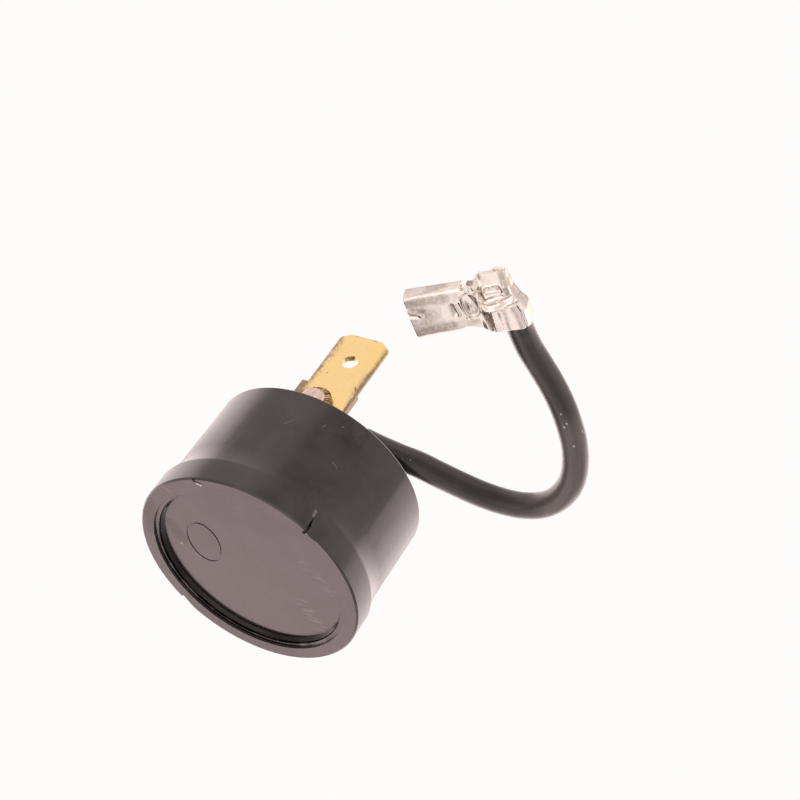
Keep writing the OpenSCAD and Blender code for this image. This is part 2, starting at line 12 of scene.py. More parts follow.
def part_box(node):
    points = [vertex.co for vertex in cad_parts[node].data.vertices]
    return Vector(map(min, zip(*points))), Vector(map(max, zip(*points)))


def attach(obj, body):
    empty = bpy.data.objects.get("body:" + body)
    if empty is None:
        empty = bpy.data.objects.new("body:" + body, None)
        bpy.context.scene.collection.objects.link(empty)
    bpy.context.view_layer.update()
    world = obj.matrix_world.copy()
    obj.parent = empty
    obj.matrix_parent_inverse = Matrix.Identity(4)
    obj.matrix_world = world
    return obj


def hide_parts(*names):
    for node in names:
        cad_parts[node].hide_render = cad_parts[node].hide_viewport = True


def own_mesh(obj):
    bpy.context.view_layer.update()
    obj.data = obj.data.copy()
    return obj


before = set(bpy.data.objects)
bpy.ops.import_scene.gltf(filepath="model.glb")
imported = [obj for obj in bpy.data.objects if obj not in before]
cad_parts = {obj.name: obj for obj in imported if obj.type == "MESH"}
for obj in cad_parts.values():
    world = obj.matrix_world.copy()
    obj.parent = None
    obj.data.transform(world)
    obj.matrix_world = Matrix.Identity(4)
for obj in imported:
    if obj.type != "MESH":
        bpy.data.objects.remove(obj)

bl_info = {
    "name": "Compressor overload protector",
    "version": (1, 0, 0),
    "blender": (4, 5, 0),
    "location": "3D View > Sidebar > Protector",
    "description": "Dresses the case, blade terminal, lead and flag receptacle of an overload protector",
    "category": "Add Mesh",
}

MM = 0.001
CASE_BODY = "case"


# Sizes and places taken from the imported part

def node_box(node):
    """Lowest and highest corner of a node, in millimetres."""
    low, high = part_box(node)
    return Vector(low) / MM, Vector(high) / MM


CASE_TOP = node_box("housing")[1].z
BLADE_FRONT = node_box("spade_tab")[0].y
BLADE_TIP = node_box("spade_tab")[1].z

# Bends of the lead in millimetres, as measured from the middle of the case's top
BENDS_ON_TOP = (
    (5.7, -5.2, 1.9), (7.4, -4.7, 1.9), (9.7, -3.8, 2.2), (11.8, -2.8, 2.7), (13.9, -1.6, 3.1),
    (16, -0.3, 3.6), (18, 1, 4.2), (20.1, 2, 4.8), (22.5, 2.4, 5.3), (24.9, 1.9, 5.7),
    (26.9, 0.6, 6.2), (28.3, -1.4, 6.9), (28.8, -3.6, 7.7), (28.5, -5.9, 8.7), (27.6, -8, 9.7),
    (26.6, -10.1, 10.4), (25.5, -12.3, 10.8), (24.4, -14.4, 11), (23.3, -16.7, 11.1), (22.5, -19, 11.3),
)

# The flag's turn and tilt at the lead's last bend, and how far past it the grip squeezes the lead
# and the lead ends
FLAG_YAW = math.radians(-10)
FLAG_PITCH = math.radians(-21)
GRIP_START = 1.2
LEAD_END = 4.2


def lead_bends():
    """The lead's bends in millimetres, in the part's frame."""
    return [Vector(p) + Vector((0, 0, CASE_TOP)) for p in BENDS_ON_TOP]


def flag_frame():
    """The flag receptacle's own frame, in millimetres: origin on the lead's axis, Y back along it."""
    turn = Matrix.Rotation(FLAG_YAW, 4, "Z") @ Matrix.Rotation(FLAG_PITCH, 4, "Y")
    return Matrix.Translation(lead_bends()[-1]) @ turn


# Settings that a user would change

class CaseSettings(bpy.types.PropertyGroup):
    rounding: FloatProperty(
        name="Edge rounding", description="Radius left on the moulded edges",
        default=0.07 * MM, unit="LENGTH")
    cover_rounding: FloatProperty(
        name="Cover rounding", description="Radius left on the edges of the cover disc",
        default=0.05 * MM, unit="LENGTH")
    colour: FloatVectorProperty(
        name="Plastic", description="Colour of the black moulding",
        default=(0.026, 0.021, 0.021), subtype="COLOR")


class SpringSettings(bpy.types.PropertyGroup):
    wire: FloatProperty(
        name="Wire", description="Diameter of the spring's wire", default=0.35 * MM, unit="LENGTH")
    turns: FloatProperty(
        name="Turns", description="Number of the spring's turns", default=2.25, min=1)


class BladeSettings(bpy.types.PropertyGroup):
    rounding: FloatProperty(
        name="Edge rounding", description="Radius on the stamped edges", default=0.06 * MM, unit="LENGTH")
    colour: FloatVectorProperty(
        name="Brass", description="Colour of the clean brass", default=(0.85, 0.66, 0.30), subtype="COLOR")
    tarnish: FloatVectorProperty(
        name="Tarnish", description="Colour of the tarnished edges",
        default=(0.30, 0.19, 0.10), subtype="COLOR")


class LeadSettings(bpy.types.PropertyGroup):
    diameter: FloatProperty(
        name="Diameter", description="Outer diameter of the insulation", default=2.98 * MM, unit="LENGTH")
    squeezed: FloatProperty(
        name="Squeezed diameter", description="Diameter of the insulation inside the flag's barrel",
        default=2.6 * MM, unit="LENGTH")
    sides: IntProperty(
        name="Sides", description="Sides of the insulation's round section", default=40, min=12, max=96)
    colour: FloatVectorProperty(
        name="Insulation", description="Colour of the insulation",
        default=(0.011, 0.009, 0.008), subtype="COLOR")
    strand: FloatProperty(
        name="Strand", description="Diameter of one copper strand", default=0.26 * MM, unit="LENGTH")
    strands: IntProperty(
        name="Strands", description="Number of copper strands", default=19, min=1, max=19)
    twist: FloatProperty(
        name="Twist", description="Turns of the strands over a bared end", default=0.3)


class FlagSettings(bpy.types.PropertyGroup):
    voxel: FloatProperty(
        name="Mesh size", description="Size of the faces that the folded sheet is modelled with",
        default=0.08 * MM, unit="LENGTH")
    softening: IntProperty(
        name="Softening", description="Passes that round the folded edges", default=5, min=0, max=30)
    colour: FloatVectorProperty(
        name="Tin", description="Colour of the tin plating", default=(0.86, 0.82, 0.75), subtype="COLOR")


class StageSettings(bpy.types.PropertyGroup):
    lens: FloatProperty(
        name="Lens", description="Focal length of the camera in millimetres", default=144.877)
    floor: FloatVectorProperty(
        name="Floor", description="Colour of the floor", default=(0.93, 0.92, 0.91), subtype="COLOR")
    backdrop: FloatVectorProperty(
        name="Backdrop", description="Colour of the backdrop",
        default=(0.985, 0.975, 0.970), subtype="COLOR")
    ambient: FloatProperty(
        name="Ambient", description="Strength of the light from all round", default=0.72)


SETTINGS = (
    ("protector_case", CaseSettings), ("protector_spring", SpringSettings),
    ("protector_blade", BladeSettings), ("protector_lead", LeadSettings),
    ("protector_flag", FlagSettings), ("protector_stage", StageSettings),
)


# Small helpers for meshes

# Angles between faces up to which they become one, and above which their edge is rounded
FLAT = math.radians(1)
SHARP = math.radians(25)


def link(name, data):
    """A new object with that data, in the scene."""
    piece = bpy.data.objects.new(name, data)
    bpy.context.scene.collection.objects.link(piece)
    return piece


def dress(piece, surface):
    """Gives a piece one material, by its name, in all its slots."""
    slots = piece.data.materials
    if not slots:
        slots.append(bpy.data.materials[surface])
    for i in range(len(slots)):
        slots[i] = bpy.data.materials[surface]


def finished(piece, surface, slot, *nodes):
    """Dresses a piece, ties it to the case and hides the nodes that it stands for; slot is not used."""
    dress(piece, surface)
    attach(piece, CASE_BODY)
    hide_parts(*nodes)
    return piece


def merge(work, distance):
    """Merges points closer than that many millimetres, and drops faces and edges that have no size."""
    bmesh.ops.remove_doubles(work, verts=work.verts, dist=distance * MM)
    bmesh.ops.dissolve_degenerate(work, edges=work.edges, dist=0.001 * MM)


def closed_copy(node):
    """A bmesh of a node with its loose triangles merged into closed faces."""
    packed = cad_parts[node].data
    mesh = bpy.data.meshes.new(node + "_copy")
    mesh.from_pydata([v.co[:] for v in packed.vertices], [], [p.vertices[:] for p in packed.polygons])
    work = bmesh.new()
    work.from_mesh(mesh)
    bpy.data.meshes.remove(mesh)
    merge(work, 0.002)
    return work


def made_piece(work, name):
    """Ends a bmesh as a smooth piece in the scene."""
    mesh = bpy.data.meshes.new(name)
    work.to_mesh(mesh)
    work.free()
    mesh.shade_smooth()
    return link(name, mesh)


def eased(node, name, width, segments=2, shape=None):
    """A copy of a node, first reworked by shape if one is given, with its sharp edges rounded by width."""
    work = closed_copy(node)
    for vert in work.verts if shape else ():
        vert.co = shape(vert.co / MM) * MM
    bmesh.ops.dissolve_limit(work, angle_limit=FLAT, verts=work.verts, edges=work.edges)
    sharp = [e for e in work.edges if e.is_manifold and e.calc_face_angle(0) > SHARP]
    bmesh.ops.bevel(work, geom=sharp, offset=width, offset_type="OFFSET", segments=segments, profile=0.5,
                    affect="EDGES", clamp_overlap=True)
    piece = made_piece(work, name)
    weigh = piece.modifiers.new("Flat faces stay flat", "WEIGHTED_NORMAL")
    weigh.weight = 80
    return piece


def applied(piece):
    """Turns a piece's modifiers into plain mesh."""
    graph = bpy.context.evaluated_depsgraph_get()
    mesh = bpy.data.meshes.new_from_object(piece.evaluated_get(graph), depsgraph=graph)
    mesh.name = piece.name
    if piece.type == "MESH":
        piece.modifiers.clear()
        piece.data = mesh
        return piece
    name = piece.name
    bpy.data.objects.remove(piece)
    return link(name, mesh)


# Small helpers for node trees

class Value:
    """A socket that can be added, multiplied and so on, each time by a new maths node in its tree."""

    def __init__(self, socket):
        self.socket = socket

    def __add__(self, other):
        return maths("ADD", self, other)

    def __sub__(self, other):
        return maths("SUBTRACT", self, other)

    def __rsub__(self, other):
        return maths("SUBTRACT", other, self)

    def __mul__(self, other):
        return maths("MULTIPLY", self, other)


def values(sockets):
    """Those sockets as values, by name."""
    return {socket.name: Value(socket) for socket in sockets}


def home(*given):
    """The node tree of the values among what is given."""
    return next(one.socket.id_data for one in given if isinstance(one, Value))


def fill(socket, given):
    """Links a value to a socket, or sets a plain number, vector or colour on it."""
    if isinstance(given, Value):
        socket.id_data.links.new(given.socket, socket)
    else:
        socket.default_value = given


def feed(node, **inputs):
    """Fills sockets of a node by name, with _ for each space."""
    for label, given in inputs.items():
        fill(node.inputs[label.replace("_", " ")], given)


def put(tree, kind, inputs=None, **settings):
    """Adds a node and fills its sockets, by name or number."""
    node = tree.nodes.new(kind)
    for key, setting in settings.items():
        setattr(node, key, setting)
    for key, given in (inputs or {}).items():
        fill(node.inputs[key], given)
    return node


def value(kind, inputs, output=0, **settings):
    """Adds a node to the tree of its inputs and gives one of its outputs."""
    return Value(put(home(*inputs.values()), kind, inputs, **settings).outputs[output])


def source(tree, kind, output=0, inputs=None, **settings):
    """Adds a node that no other node feeds and gives one of its outputs."""
    return Value(put(tree, kind, inputs, **settings).outputs[output])


def maths(operation, a, b=0.0, clamp=False):
    return value("ShaderNodeMath", {0: a, 1: b}, operation=operation, use_clamp=clamp)


def largest(first, *others):
    for other in others:
        first = maths("MAXIMUM", first, other)
    return first


def vector_maths(operation, a, b=(0, 0, 0)):
    output = "Value" if operation in ("LENGTH", "DOT_PRODUCT") else "Vector"
    return value("ShaderNodeVectorMath", {0: a, 1: b}, output, operation=operation)


def scaled(vector, by):
    return value("ShaderNodeVectorMath", {0: vector, "Scale": by}, operation="SCALE")


def split(vector):
    """The three parts of a vector."""
    return list(values(put(home(vector), "ShaderNodeSeparateXYZ", {0: vector}).outputs).values())


def joined(x, y, z):
    """A vector of three parts."""
    return value("ShaderNodeCombineXYZ", {0: x, 1: y, 2: z})


def reach_of(x, y):
    """How far a place is from an axis, by its two parts across it."""
    return maths("SQRT", x * x + y * y)


def ramp(given, low, high, to_low=0.0, to_high=1.0, smooth=True):
    """A value mapped from low..high to to_low..to_high, and held there outside them."""
    return value("ShaderNodeMapRange", {0: given, 1: low, 2: high, 3: to_low, 4: to_high},
                 interpolation_type="SMOOTHSTEP" if smooth else "LINEAR")


def curve(given, points):
    """A value read off straight lines between points, each a place and a height of 0 to 4."""
    low, high = points[0][0], points[-1][0]
    node = put(home(given), "ShaderNodeFloatCurve", {"Value": ramp(given, low, high, smooth=False)})
    line = node.mapping.curves[0]
    spots = [((place - low) / (high - low), height / 4) for place, height in points]
    line.points[0].location, line.points[-1].location = spots[0], spots[-1]
    for spot in spots[1:-1]:
        line.points.new(*spot)
    for point in line.points:
        point.handle_type = "VECTOR"
    node.mapping.update()
    return Value(node.outputs[0]) * 4.0


def tint(factor, a, b):
    """Colour a turned to colour b by factor."""
    a, b = (one if isinstance(one, Value) else (*one[:3], 1) for one in (a, b))
    return value("ShaderNodeMix", {0: factor, 6: a, 7: b}, 2, data_type="RGBA", clamp_factor=True)


def noise(place, scale, detail=3.0, roughness=0.5, distortion=0.0):
    return value("ShaderNodeTexNoise", {
        "Vector": place, "Scale": scale, "Detail": detail, "Roughness": roughness, "Distortion": distortion,
    }, "Fac")


def stretched(place, scale, turn=(0, 0, 0)):
    """A place scaled by a different amount along each axis, for patterns that run one way."""
    return value("ShaderNodeMapping", {"Vector": place, "Scale": scale, "Rotation": turn})


def bump(height, depth, strength=1.0, below=None):
    """A normal from a height of 0 to 1 that stands for depth millimetres."""
    inputs = {"Height": height, "Distance": depth * MM, "Strength": strength}
    if below is not None:
        inputs["Normal"] = below
    return value("ShaderNodeBump", inputs)


def material(name):
    """A new material: its shader and the place on the piece in millimetres."""
    made = bpy.data.materials.new(name)
    made.use_nodes = True
    tree = made.node_tree
    return tree.nodes["Principled BSDF"], scaled(source(tree, "ShaderNodeTexCoord", "Object"), 1 / MM)


def group(name, outputs, **inputs):
    """A node group with those outputs and inputs, which have defaults; gives its inputs and its end."""
    tree = bpy.data.node_groups.new(name, "ShaderNodeTree")
    for label, default in inputs.items():
        kind = "NodeSocketVector" if isinstance(default, tuple) else "NodeSocketFloat"
        tree.interface.new_socket(label, in_out="INPUT", socket_type=kind).default_value = default
    for label in outputs:
        tree.interface.new_socket(label, in_out="OUTPUT", socket_type="NodeSocketFloat")
    return values(tree.nodes.new("NodeGroupInput").outputs), tree.nodes.new("NodeGroupOutput")


def use(group_name, **inputs):
    """Places a node group in the tree of its inputs and gives its outputs."""
    node = put(home(*inputs.values()), "ShaderNodeGroup", node_tree=bpy.data.node_groups[group_name])
    feed(node, **inputs)
    return values(node.outputs)


# Effects that several materials share

# What a group's places are until a material gives them
NO_PLACE = (0.0, 0.0, 0.0)


def build_scratch_group():
    """A short straight mark between two points, such as a scratch or a bright fleck."""
    given, out = group("Scratch", ["Mask"], Place=NO_PLACE, Start=NO_PLACE, End=(0.0, 0.0, 1.0), Width=0.1)
    along = vector_maths("SUBTRACT", given["End"], given["Start"])
    from_start = vector_maths("SUBTRACT", given["Place"], given["Start"])
    share = maths("DIVIDE", vector_maths("DOT_PRODUCT", from_start, along),
                  vector_maths("DOT_PRODUCT", along, along), clamp=True)
    distance = vector_maths("LENGTH", vector_maths("SUBTRACT", from_start, scaled(along, share)))
    half = given["Width"] * 0.5
    feed(out, Mask=ramp(distance, half * 0.3, half, 1.0, 0.0))


def build_dust_group():
    """Fine specks, each in its own cell, with most of the cells left empty."""
    given, out = group("Dust", ["Mask"], Place=NO_PLACE, Scale=2.0, Size=0.2, Share=0.1)
    cells = values(put(home(given["Place"]), "ShaderNodeTexVoronoi", {
        "Vector": given["Place"], "Scale": given["Scale"]}, feature="F1").outputs)
    spot = ramp(cells["Distance"], given["Size"] * 0.4, given["Size"], 1.0, 0.0)
    pick = value("ShaderNodeSeparateColor", {0: cells["Color"]})
    feed(out, Mask=spot * maths("LESS_THAN", pick, given["Share"]))


def build_tarnish_group():
    """Uneven patches of tarnish, thicker where the given edge value is high."""
    given, out = group("Tarnish", ["Mask"], Place=NO_PLACE, Scale=1.0, Edge=0.0, Amount=0.3)
    cloud = noise(given["Place"], given["Scale"], detail=6, roughness=0.65)
    threshold = 0.85 - (given["Amount"] + given["Edge"]) * 0.6
    feed(out, Mask=ramp(cloud - threshold, -0.04, 0.16))


def build_wear_group():
    """Handling wear: broad cloudy wipes and fine grain, as two values round 0.5."""
    given, out = group("Handling", ["Cloud", "Grain"], Place=NO_PLACE, Cloud=0.3, Grain=12.0)
    feed(out, Cloud=noise(given["Place"], given["Cloud"], detail=5, roughness=0.6, distortion=0.6),
         Grain=noise(given["Place"], given["Grain"], detail=4, roughness=0.6))


def build_shaded_side_group():
    """A mask on one side of the round case, where painted shade darkens its mouth."""
    given, out = group("Grimy side", ["Mask"], Place=NO_PLACE)
    x, y, _ = split(given["Place"])
    feed(out, Mask=ramp(x * -0.45 + y * 0.9, 0.0, 6.0))


def scratch(place, start, end, width):
    """The mask of one straight mark."""
    return use("Scratch", Place=place, Start=start, End=end, Width=width)["Mask"]


def marks(place, lines, width):
    """The marks along those lines, each a start and an end in millimetres, as one mask."""
    return largest(*(scratch(place, start, end, width) for start, end in lines))


def without_gloss(base, lost):
    """The base colour where a share of the gloss is lost, with black metal in place of that share."""
    return tint(lost, base, (0.004, 0.003, 0.003))


# Materials of the case

# Radii of its top edge and of the ledge in its mouth, and of the edge of the cover's face
TOP_EDGE = 12.7
MOUTH_LEDGE = 11.9
COVER_EDGE = 11.15

# Scratches, a painted glint above the slit, streaks, nick dents painted dark inside as shade, painted
# glints, a stain and painted shade on the rim, each by its start and its end in the part's millimetres
CASE_SCRATCHES = (
    ((1.04, -12.84, 10.76), (1.70, -12.77, 11.69)),
    ((7.52, -10.48, 9.35), (8.07, -10.07, 9.07)),
    ((4.75, -11.95, 12.5), (4.85, -11.90, 12.9)),
    ((6.30, -11.20, 13.8), (6.45, -11.10, 14.0)),
)
CASE_GLINT = (((9.15, -9.98, 2.0), (9.10, -10.04, 2.7)),)
RIM_STREAKS = (((-8.73, -10.33, 0), (-7.35, -8.95, 0)), ((-12.3, -2.07, 0), (-11.97, -0.74, 0)))
RIM_NICKS_SHADED = (((-4.05, -12.68, 0), (-3.3, -12.50, 0)), ((-12.45, -5.15, 0), (-12.55, -5.2, 0.15)))
# Painted glints: a pale sliver beside the first nick dent, and a pale line at the mouth's edge
RIM_GLINTS = (((-3.76, -12.34, 0), (-3.30, -12.20, 0)), ((-5.35, 10.15, 0.1), (-4.30, 10.12, 0.1)))
RIM_STAIN = (((-11.46, -7.0, 0), (-11.76, -2.1, 0)),)
RIM_SHADE = (((-9.6, 8.4, 0), (-4.5, 11.8, 0)), ((-4.5, 11.8, 0), (2.5, 12.3, 0)))


def moulded_plastic(name):
    """Glossy black thermoset with faint flow clouds; gives its shader, the place and what to build on."""
    shader, place = material(name)
    colour = bpy.context.scene.protector_case.colour
    wear = use("Handling", Place=place, Cloud=0.22, Grain=14)
    base = tint(ramp(wear["Cloud"], 0.35, 0.7), colour, [c * 1.5 + 0.006 for c in colour])
    specks = use("Dust", Place=place, Scale=1.6, Size=0.09, Share=0.10)["Mask"]
    base = tint(specks * 0.55, base, (0.16, 0.14, 0.13))
    rough = ramp(wear["Cloud"], 0.3, 0.75, 0.13, 0.22)
    waves = bump(noise(place, 0.5, detail=2), 0.012, 0.7)
    feed(shader, IOR=1.5)
    return shader, place, base, rough, bump(wear["Grain"], 0.0016, 0.5, waves)


def case_plastic():
    """The case's plastic, with its scratches, nick dents painted dark as shade, painted glints, painted
    shade at its mouth and on its rim, and a painted highlight along its top edge.
    """
    shader, place, base, rough, normal = moulded_plastic("case_plastic_moulded")
    x, y, z = split(place)
    reach = reach_of(x, y)
    lines = marks(place, CASE_SCRATCHES, 0.16)
    # Nick dents: bumped in, and painted black without gloss inside as shade
    nicks_shaded = marks(place, RIM_NICKS_SHADED, 0.62)
    stain = marks(place, RIM_STAIN, 2.8) * 0.8
    # A painted highlight: a pale line along part of the top edge
    top_edge_highlight = (ramp(z, CASE_TOP - 0.22, CASE_TOP - 0.12) * ramp(reach, TOP_EDGE - 0.04, TOP_EDGE + 0.01)
            * ramp(x, 4.0, 8.5))
    # The fleck above the slit and the slivers are painted glints, the nick dents are painted dark as shade,
    # and the pale line along the top edge is a painted highlight
    for mask, colour in (
            (lines * 0.7, (0.16, 0.15, 0.15)),
            (marks(place, CASE_GLINT, 0.5) * 0.8, (0.20, 0.18, 0.18)),
            (marks(place, RIM_STREAKS, 0.55) * 0.30, (0.16, 0.10, 0.09)),
            (stain, (0.040, 0.042, 0.034)),
            (nicks_shaded, (0.006, 0.005, 0.005)),
            (marks(place, RIM_GLINTS, 0.40), (0.62, 0.58, 0.56)),
            (top_edge_highlight * 0.85, (0.66, 0.63, 0.62))):
        base = tint(mask, base, colour)
    # Painted shade: the mouth's ledge on one side, and broad strips of the rim, are darkened and lose gloss
    ledge = ramp(reach, MOUTH_LEDGE + 0.03, MOUTH_LEDGE - 0.02) * ramp(z, 1.0, 0.8)
    ledge = ledge * use("Grimy side", Place=place)["Mask"]
    patchy = ramp(noise(place, 0.45, detail=3), 0.62, 0.48)
    darker = largest(ledge * patchy, marks(place, RIM_SHADE, 4.2) * 0.22)
    lost = largest(stain * 0.38, nicks_shaded * 0.95, darker * 0.88)
    feed(shader, Base_Color=without_gloss(base, lost), Metallic=lost, Roughness=rough + lines * 0.3,
         Normal=bump(largest(lines, nicks_shaded) * -1.0, 0.02, 1.0, normal))


# Wiped smears on the cover: start, end and width of each
SMEARS = (((6.9, -2.6, 0.9), (9.8, 0.5, 0.9), 2.0), ((5.6, 4.2, 0.9), (7.8, 8.2, 0.9), 2.4))
COVER_SMUDGE = (((-9.9, -3.0, 0.9), (-9.0, -1.2, 0.9)),)
COVER_SPECK = (((-9.25, -0.1, 0.9), (-9.15, 0.02, 0.9)),)


def cover_plastic():
    """The cover's plastic, with the wiped smears that its face shows, grit along the mouth, and a paste bead
    there darkened partly as painted shade.
    """
    shader, place, base, rough, normal = moulded_plastic("cover_plastic_moulded")
    x, y, _ = split(place)
    reach = reach_of(x, y)
    rows = noise(stretched(place, (0.5, 2.4, 1), (0, 0, math.radians(-50))), 1.1, detail=4)
    smear = largest(*(scratch(place, start, end, width) for start, end, width in SMEARS))
    grit = use("Dust", Place=place, Scale=3.2, Size=0.22, Share=0.35)["Mask"]
    grit = grit * ramp(reach, COVER_EDGE - 0.2, COVER_EDGE)
    shaded_side = use("Grimy side", Place=place)["Mask"] * ramp(reach, COVER_EDGE - 0.55, COVER_EDGE + 0.05)
    # The paste bead, and one side of the face inside it, are darker and lose gloss: partly the paste's own
    # colour, partly painted shade
    paste = largest(shaded_side, ramp(reach, COVER_EDGE - 0.1, COVER_EDGE))
    base = tint(smear * ramp(rows, 0.48, 0.62) * 0.50, base, (0.14, 0.13, 0.12))
    base = tint(grit, base, (0.20, 0.16, 0.14))
    base = tint(paste * (1.0 - grit), base, (0.020, 0.013, 0.011))
    lost = largest(marks(place, COVER_SMUDGE, 2.6) * 0.29, paste * 0.62)
    base = tint(marks(place, COVER_SPECK, 0.36), without_gloss(base, lost), (0.34, 0.26, 0.24))
    feed(shader, Base_Color=base, Metallic=lost, Normal=normal,
         Roughness=rough + smear * ramp(rows, 0.52, 0.36) * 0.10)


# Materials of the metal pieces

def worn_metal(name, clean, darker, roughness=0.3, scale=1.2, amount=0.25, edge=None, grain=(1, 1, 1)):
    """A metal with uneven tarnish and a fine grain; edge gives a mask that the tarnish gathers at."""
    shader, place = material(name)
    edge = edge(place) if edge else 0.0
    stain = use("Tarnish", Place=place, Scale=scale, Edge=edge, Amount=amount)["Mask"]
    lines = noise(stretched(place, grain), 6, detail=4, roughness=0.6)
    shade = tint(ramp(lines, 0.3, 0.7), [c * 0.90 for c in clean], clean)
    base = tint(stain, shade, darker)
    rough = stain * 0.22 + ramp(lines, 0.2, 0.8, roughness * 0.8, roughness * 1.2)
    feed(shader, Base_Color=base, Roughness=rough, Normal=bump(lines, 0.003, 0.6), Metallic=1.0)
    return shader, place, base


def before_back(y):
    """1 on the blade's front and sides, and 0 on its back."""
    return ramp(y, BLADE_FRONT + 0.64, BLADE_FRONT + 0.76, 1.0, 0.0)


def blade_edge(place):
    """High along the blade's two long edges and its tip, more on the left, as the stamping left them."""
    x, y, z = split(place)
    left = ramp(x, -2.1, -3.3, 0.0, 0.92)
    right = ramp(x, 2.75, 3.3, 0.0, 0.95)
    tip = ramp(z, BLADE_TIP - 0.5, BLADE_TIP, 0.0, 0.5)
    side = ramp(y, BLADE_FRONT + 0.15, BLADE_FRONT + 0.6, 0.0, 0.45) * before_back(y)
    return largest(left, right, tip, side)


def on_blade(*lines):
    """Lines on the blade's front, each given as x and z of its start and its end."""
    return [((x, BLADE_FRONT, z), (end_x, BLADE_FRONT, end_z)) for x, z, end_x, end_z in lines]


# Dark specks and tarnished stretches of the blade's front
BLADE_SPECKS = on_blade(
    (-1.66, 23.35, -1.60, 23.42), (-2.95, 25.8, -2.7, 25.9), (-2.35, 23.2, -2.3, 23.25),
    (-2.6, 24.1, -2.55, 24.1), (2.55, 22.4, 2.95, 21.75), (2.95, 24.2, 3.2, 23.7),
)
BLADE_STAINS = on_blade(
    (-3.0, 28.3, -2.9, 26.0), (-3.2, 25.2, -3.2, 21.0), (-3.6, 20.6, -2.6, 20.0), (3.3, 24.4, 3.3, 22.9),
    (3.2, 22.4, 3.6, 19.5),
)


def blade_brass():
    """Brass of the blade, tarnished along its edges and with a few dark specks."""
    settings = bpy.context.scene.protector_blade
    shader, place, base = worn_metal(
        "blade_brass_worn", settings.colour, settings.tarnish, 0.30, 1.5, 0.12, blade_edge, (2.2, 1, 0.5))
    x, y, z = split(place)
    ragged = ramp(noise(place, 1.9, detail=4, roughness=0.65), 0.33, 0.56)
    pink = ramp(noise(place, 0.55, detail=3), 0.5, 0.72)
    side = ramp(y, BLADE_FRONT + 0.05, BLADE_FRONT + 0.22) * before_back(y)
    for mask, colour in (
            (ramp(x, 0.6, 2.9) * ramp(z, 24.5, 28.5) * 0.45, (0.80, 0.60, 0.16)),
            (marks(place, BLADE_STAINS, 2.0) * ragged * 0.75, (0.36, 0.30, 0.20)),
            (pink * 0.16, (0.90, 0.52, 0.36)),
            (side * 0.6, (0.27, 0.21, 0.13)),
            (marks(place, BLADE_SPECKS, 0.20) * 0.8, (0.16, 0.09, 0.04))):
        base = tint(mask, base, colour)
    feed(shader, Base_Color=base)


# Middle of the rivet's face, by x and z, and where its round side wall begins and is reached
RIVET_MIDDLE = (-0.78, 18.45)
RIVET_WALL = (1.50, 1.62)


def rivet_metal():
    """The rivet on the blade: a pinkish face, and a darker side wall with dark lines round it."""
    shader, place = material("rivet_metal_formed")
    x, y, z = split(place)
    across, up = x - RIVET_MIDDLE[0], z - RIVET_MIDDLE[1]
    around = maths("ARCTAN2", up, across)
    wall = ramp(reach_of(across, up), *RIVET_WALL)
    round_wall = joined(maths("COSINE", around), maths("SINE", around), y * 0.12)
    lines = noise(round_wall, 9, detail=3, roughness=0.7)
    streaks = noise(stretched(place, (2.6, 1, 0.7)), 1.6, detail=5, roughness=0.7)
    face = tint(ramp(streaks, 0.35, 0.65), (0.47, 0.35, 0.29), (0.78, 0.63, 0.55))
    side = tint(ramp(lines, 0.42, 0.58), (0.10, 0.055, 0.02), (0.62, 0.40, 0.20))
    rough = ramp(streaks, 0.3, 0.7, 0.26, 0.42) + wall * 0.06
    normal = bump(streaks, 0.006, 0.7, bump(lines * wall, 0.03, 0.8))
    feed(shader, Base_Color=tint(wall, face, side), Roughness=rough, Normal=normal, Metallic=1.0)


# Painted shade and painted dark reflections on the flag's outer side: start, end, width and strength of
# each, in its own frame
FLAG_SHADES = (
    ((-10.6, -7.0), (-6.6, -6.8), 2.3, 0.42), ((-10.2, -5.8), (-9.2, -5.6), 1.3, 0.60),
    ((-10.4, -2.7), (-6.6, -3.0), 2.0, 0.55), ((-10.2, -8.25), (-4.6, -8.4), 0.35, 0.08),
    ((-10.0, -7.6), (-4.3, -7.9), 0.22, 0.45), ((-5.9, -5.6), (-5.65, -4.5), 0.22, 0.80),
    ((-4.05, -6.85), (-3.35, -6.2), 0.34, 0.90), ((-3.35, -6.2), (-3.10, -4.8), 0.48, 0.95),
    ((-4.70, -5.9), (-4.35, -3.7), 0.30, 0.45), ((-4.2, -5.7), (-3.9, -5.2), 0.4, 0.50),
    ((-3.55, -8.3), (-3.05, -8.0), 0.75, 0.90), ((-2.30, -8.2), (-2.20, -7.9), 0.35, 0.80),
    ((-2.45, -7.2), (-2.25, -6.9), 0.40, 0.90), ((-2.5, -6.8), (-2.15, -5.5), 0.24, 0.75),
    ((-2.80, -4.2), (-2.40, -1.6), 0.55, 0.85), ((-2.45, -4.2), (-2.25, -2.9), 0.36, 0.60),
    ((-2.15, -7.0), (-0.2, -7.15), 0.20, 0.60), ((-0.18, -6.9), (-0.10, -6.3), 0.30, 0.85),
    ((0.05, -8.3), (0.55, -6.2), 1.0, 0.50), ((-2.0, -5.75), (-1.1, -5.9), 0.42, 0.60),
)


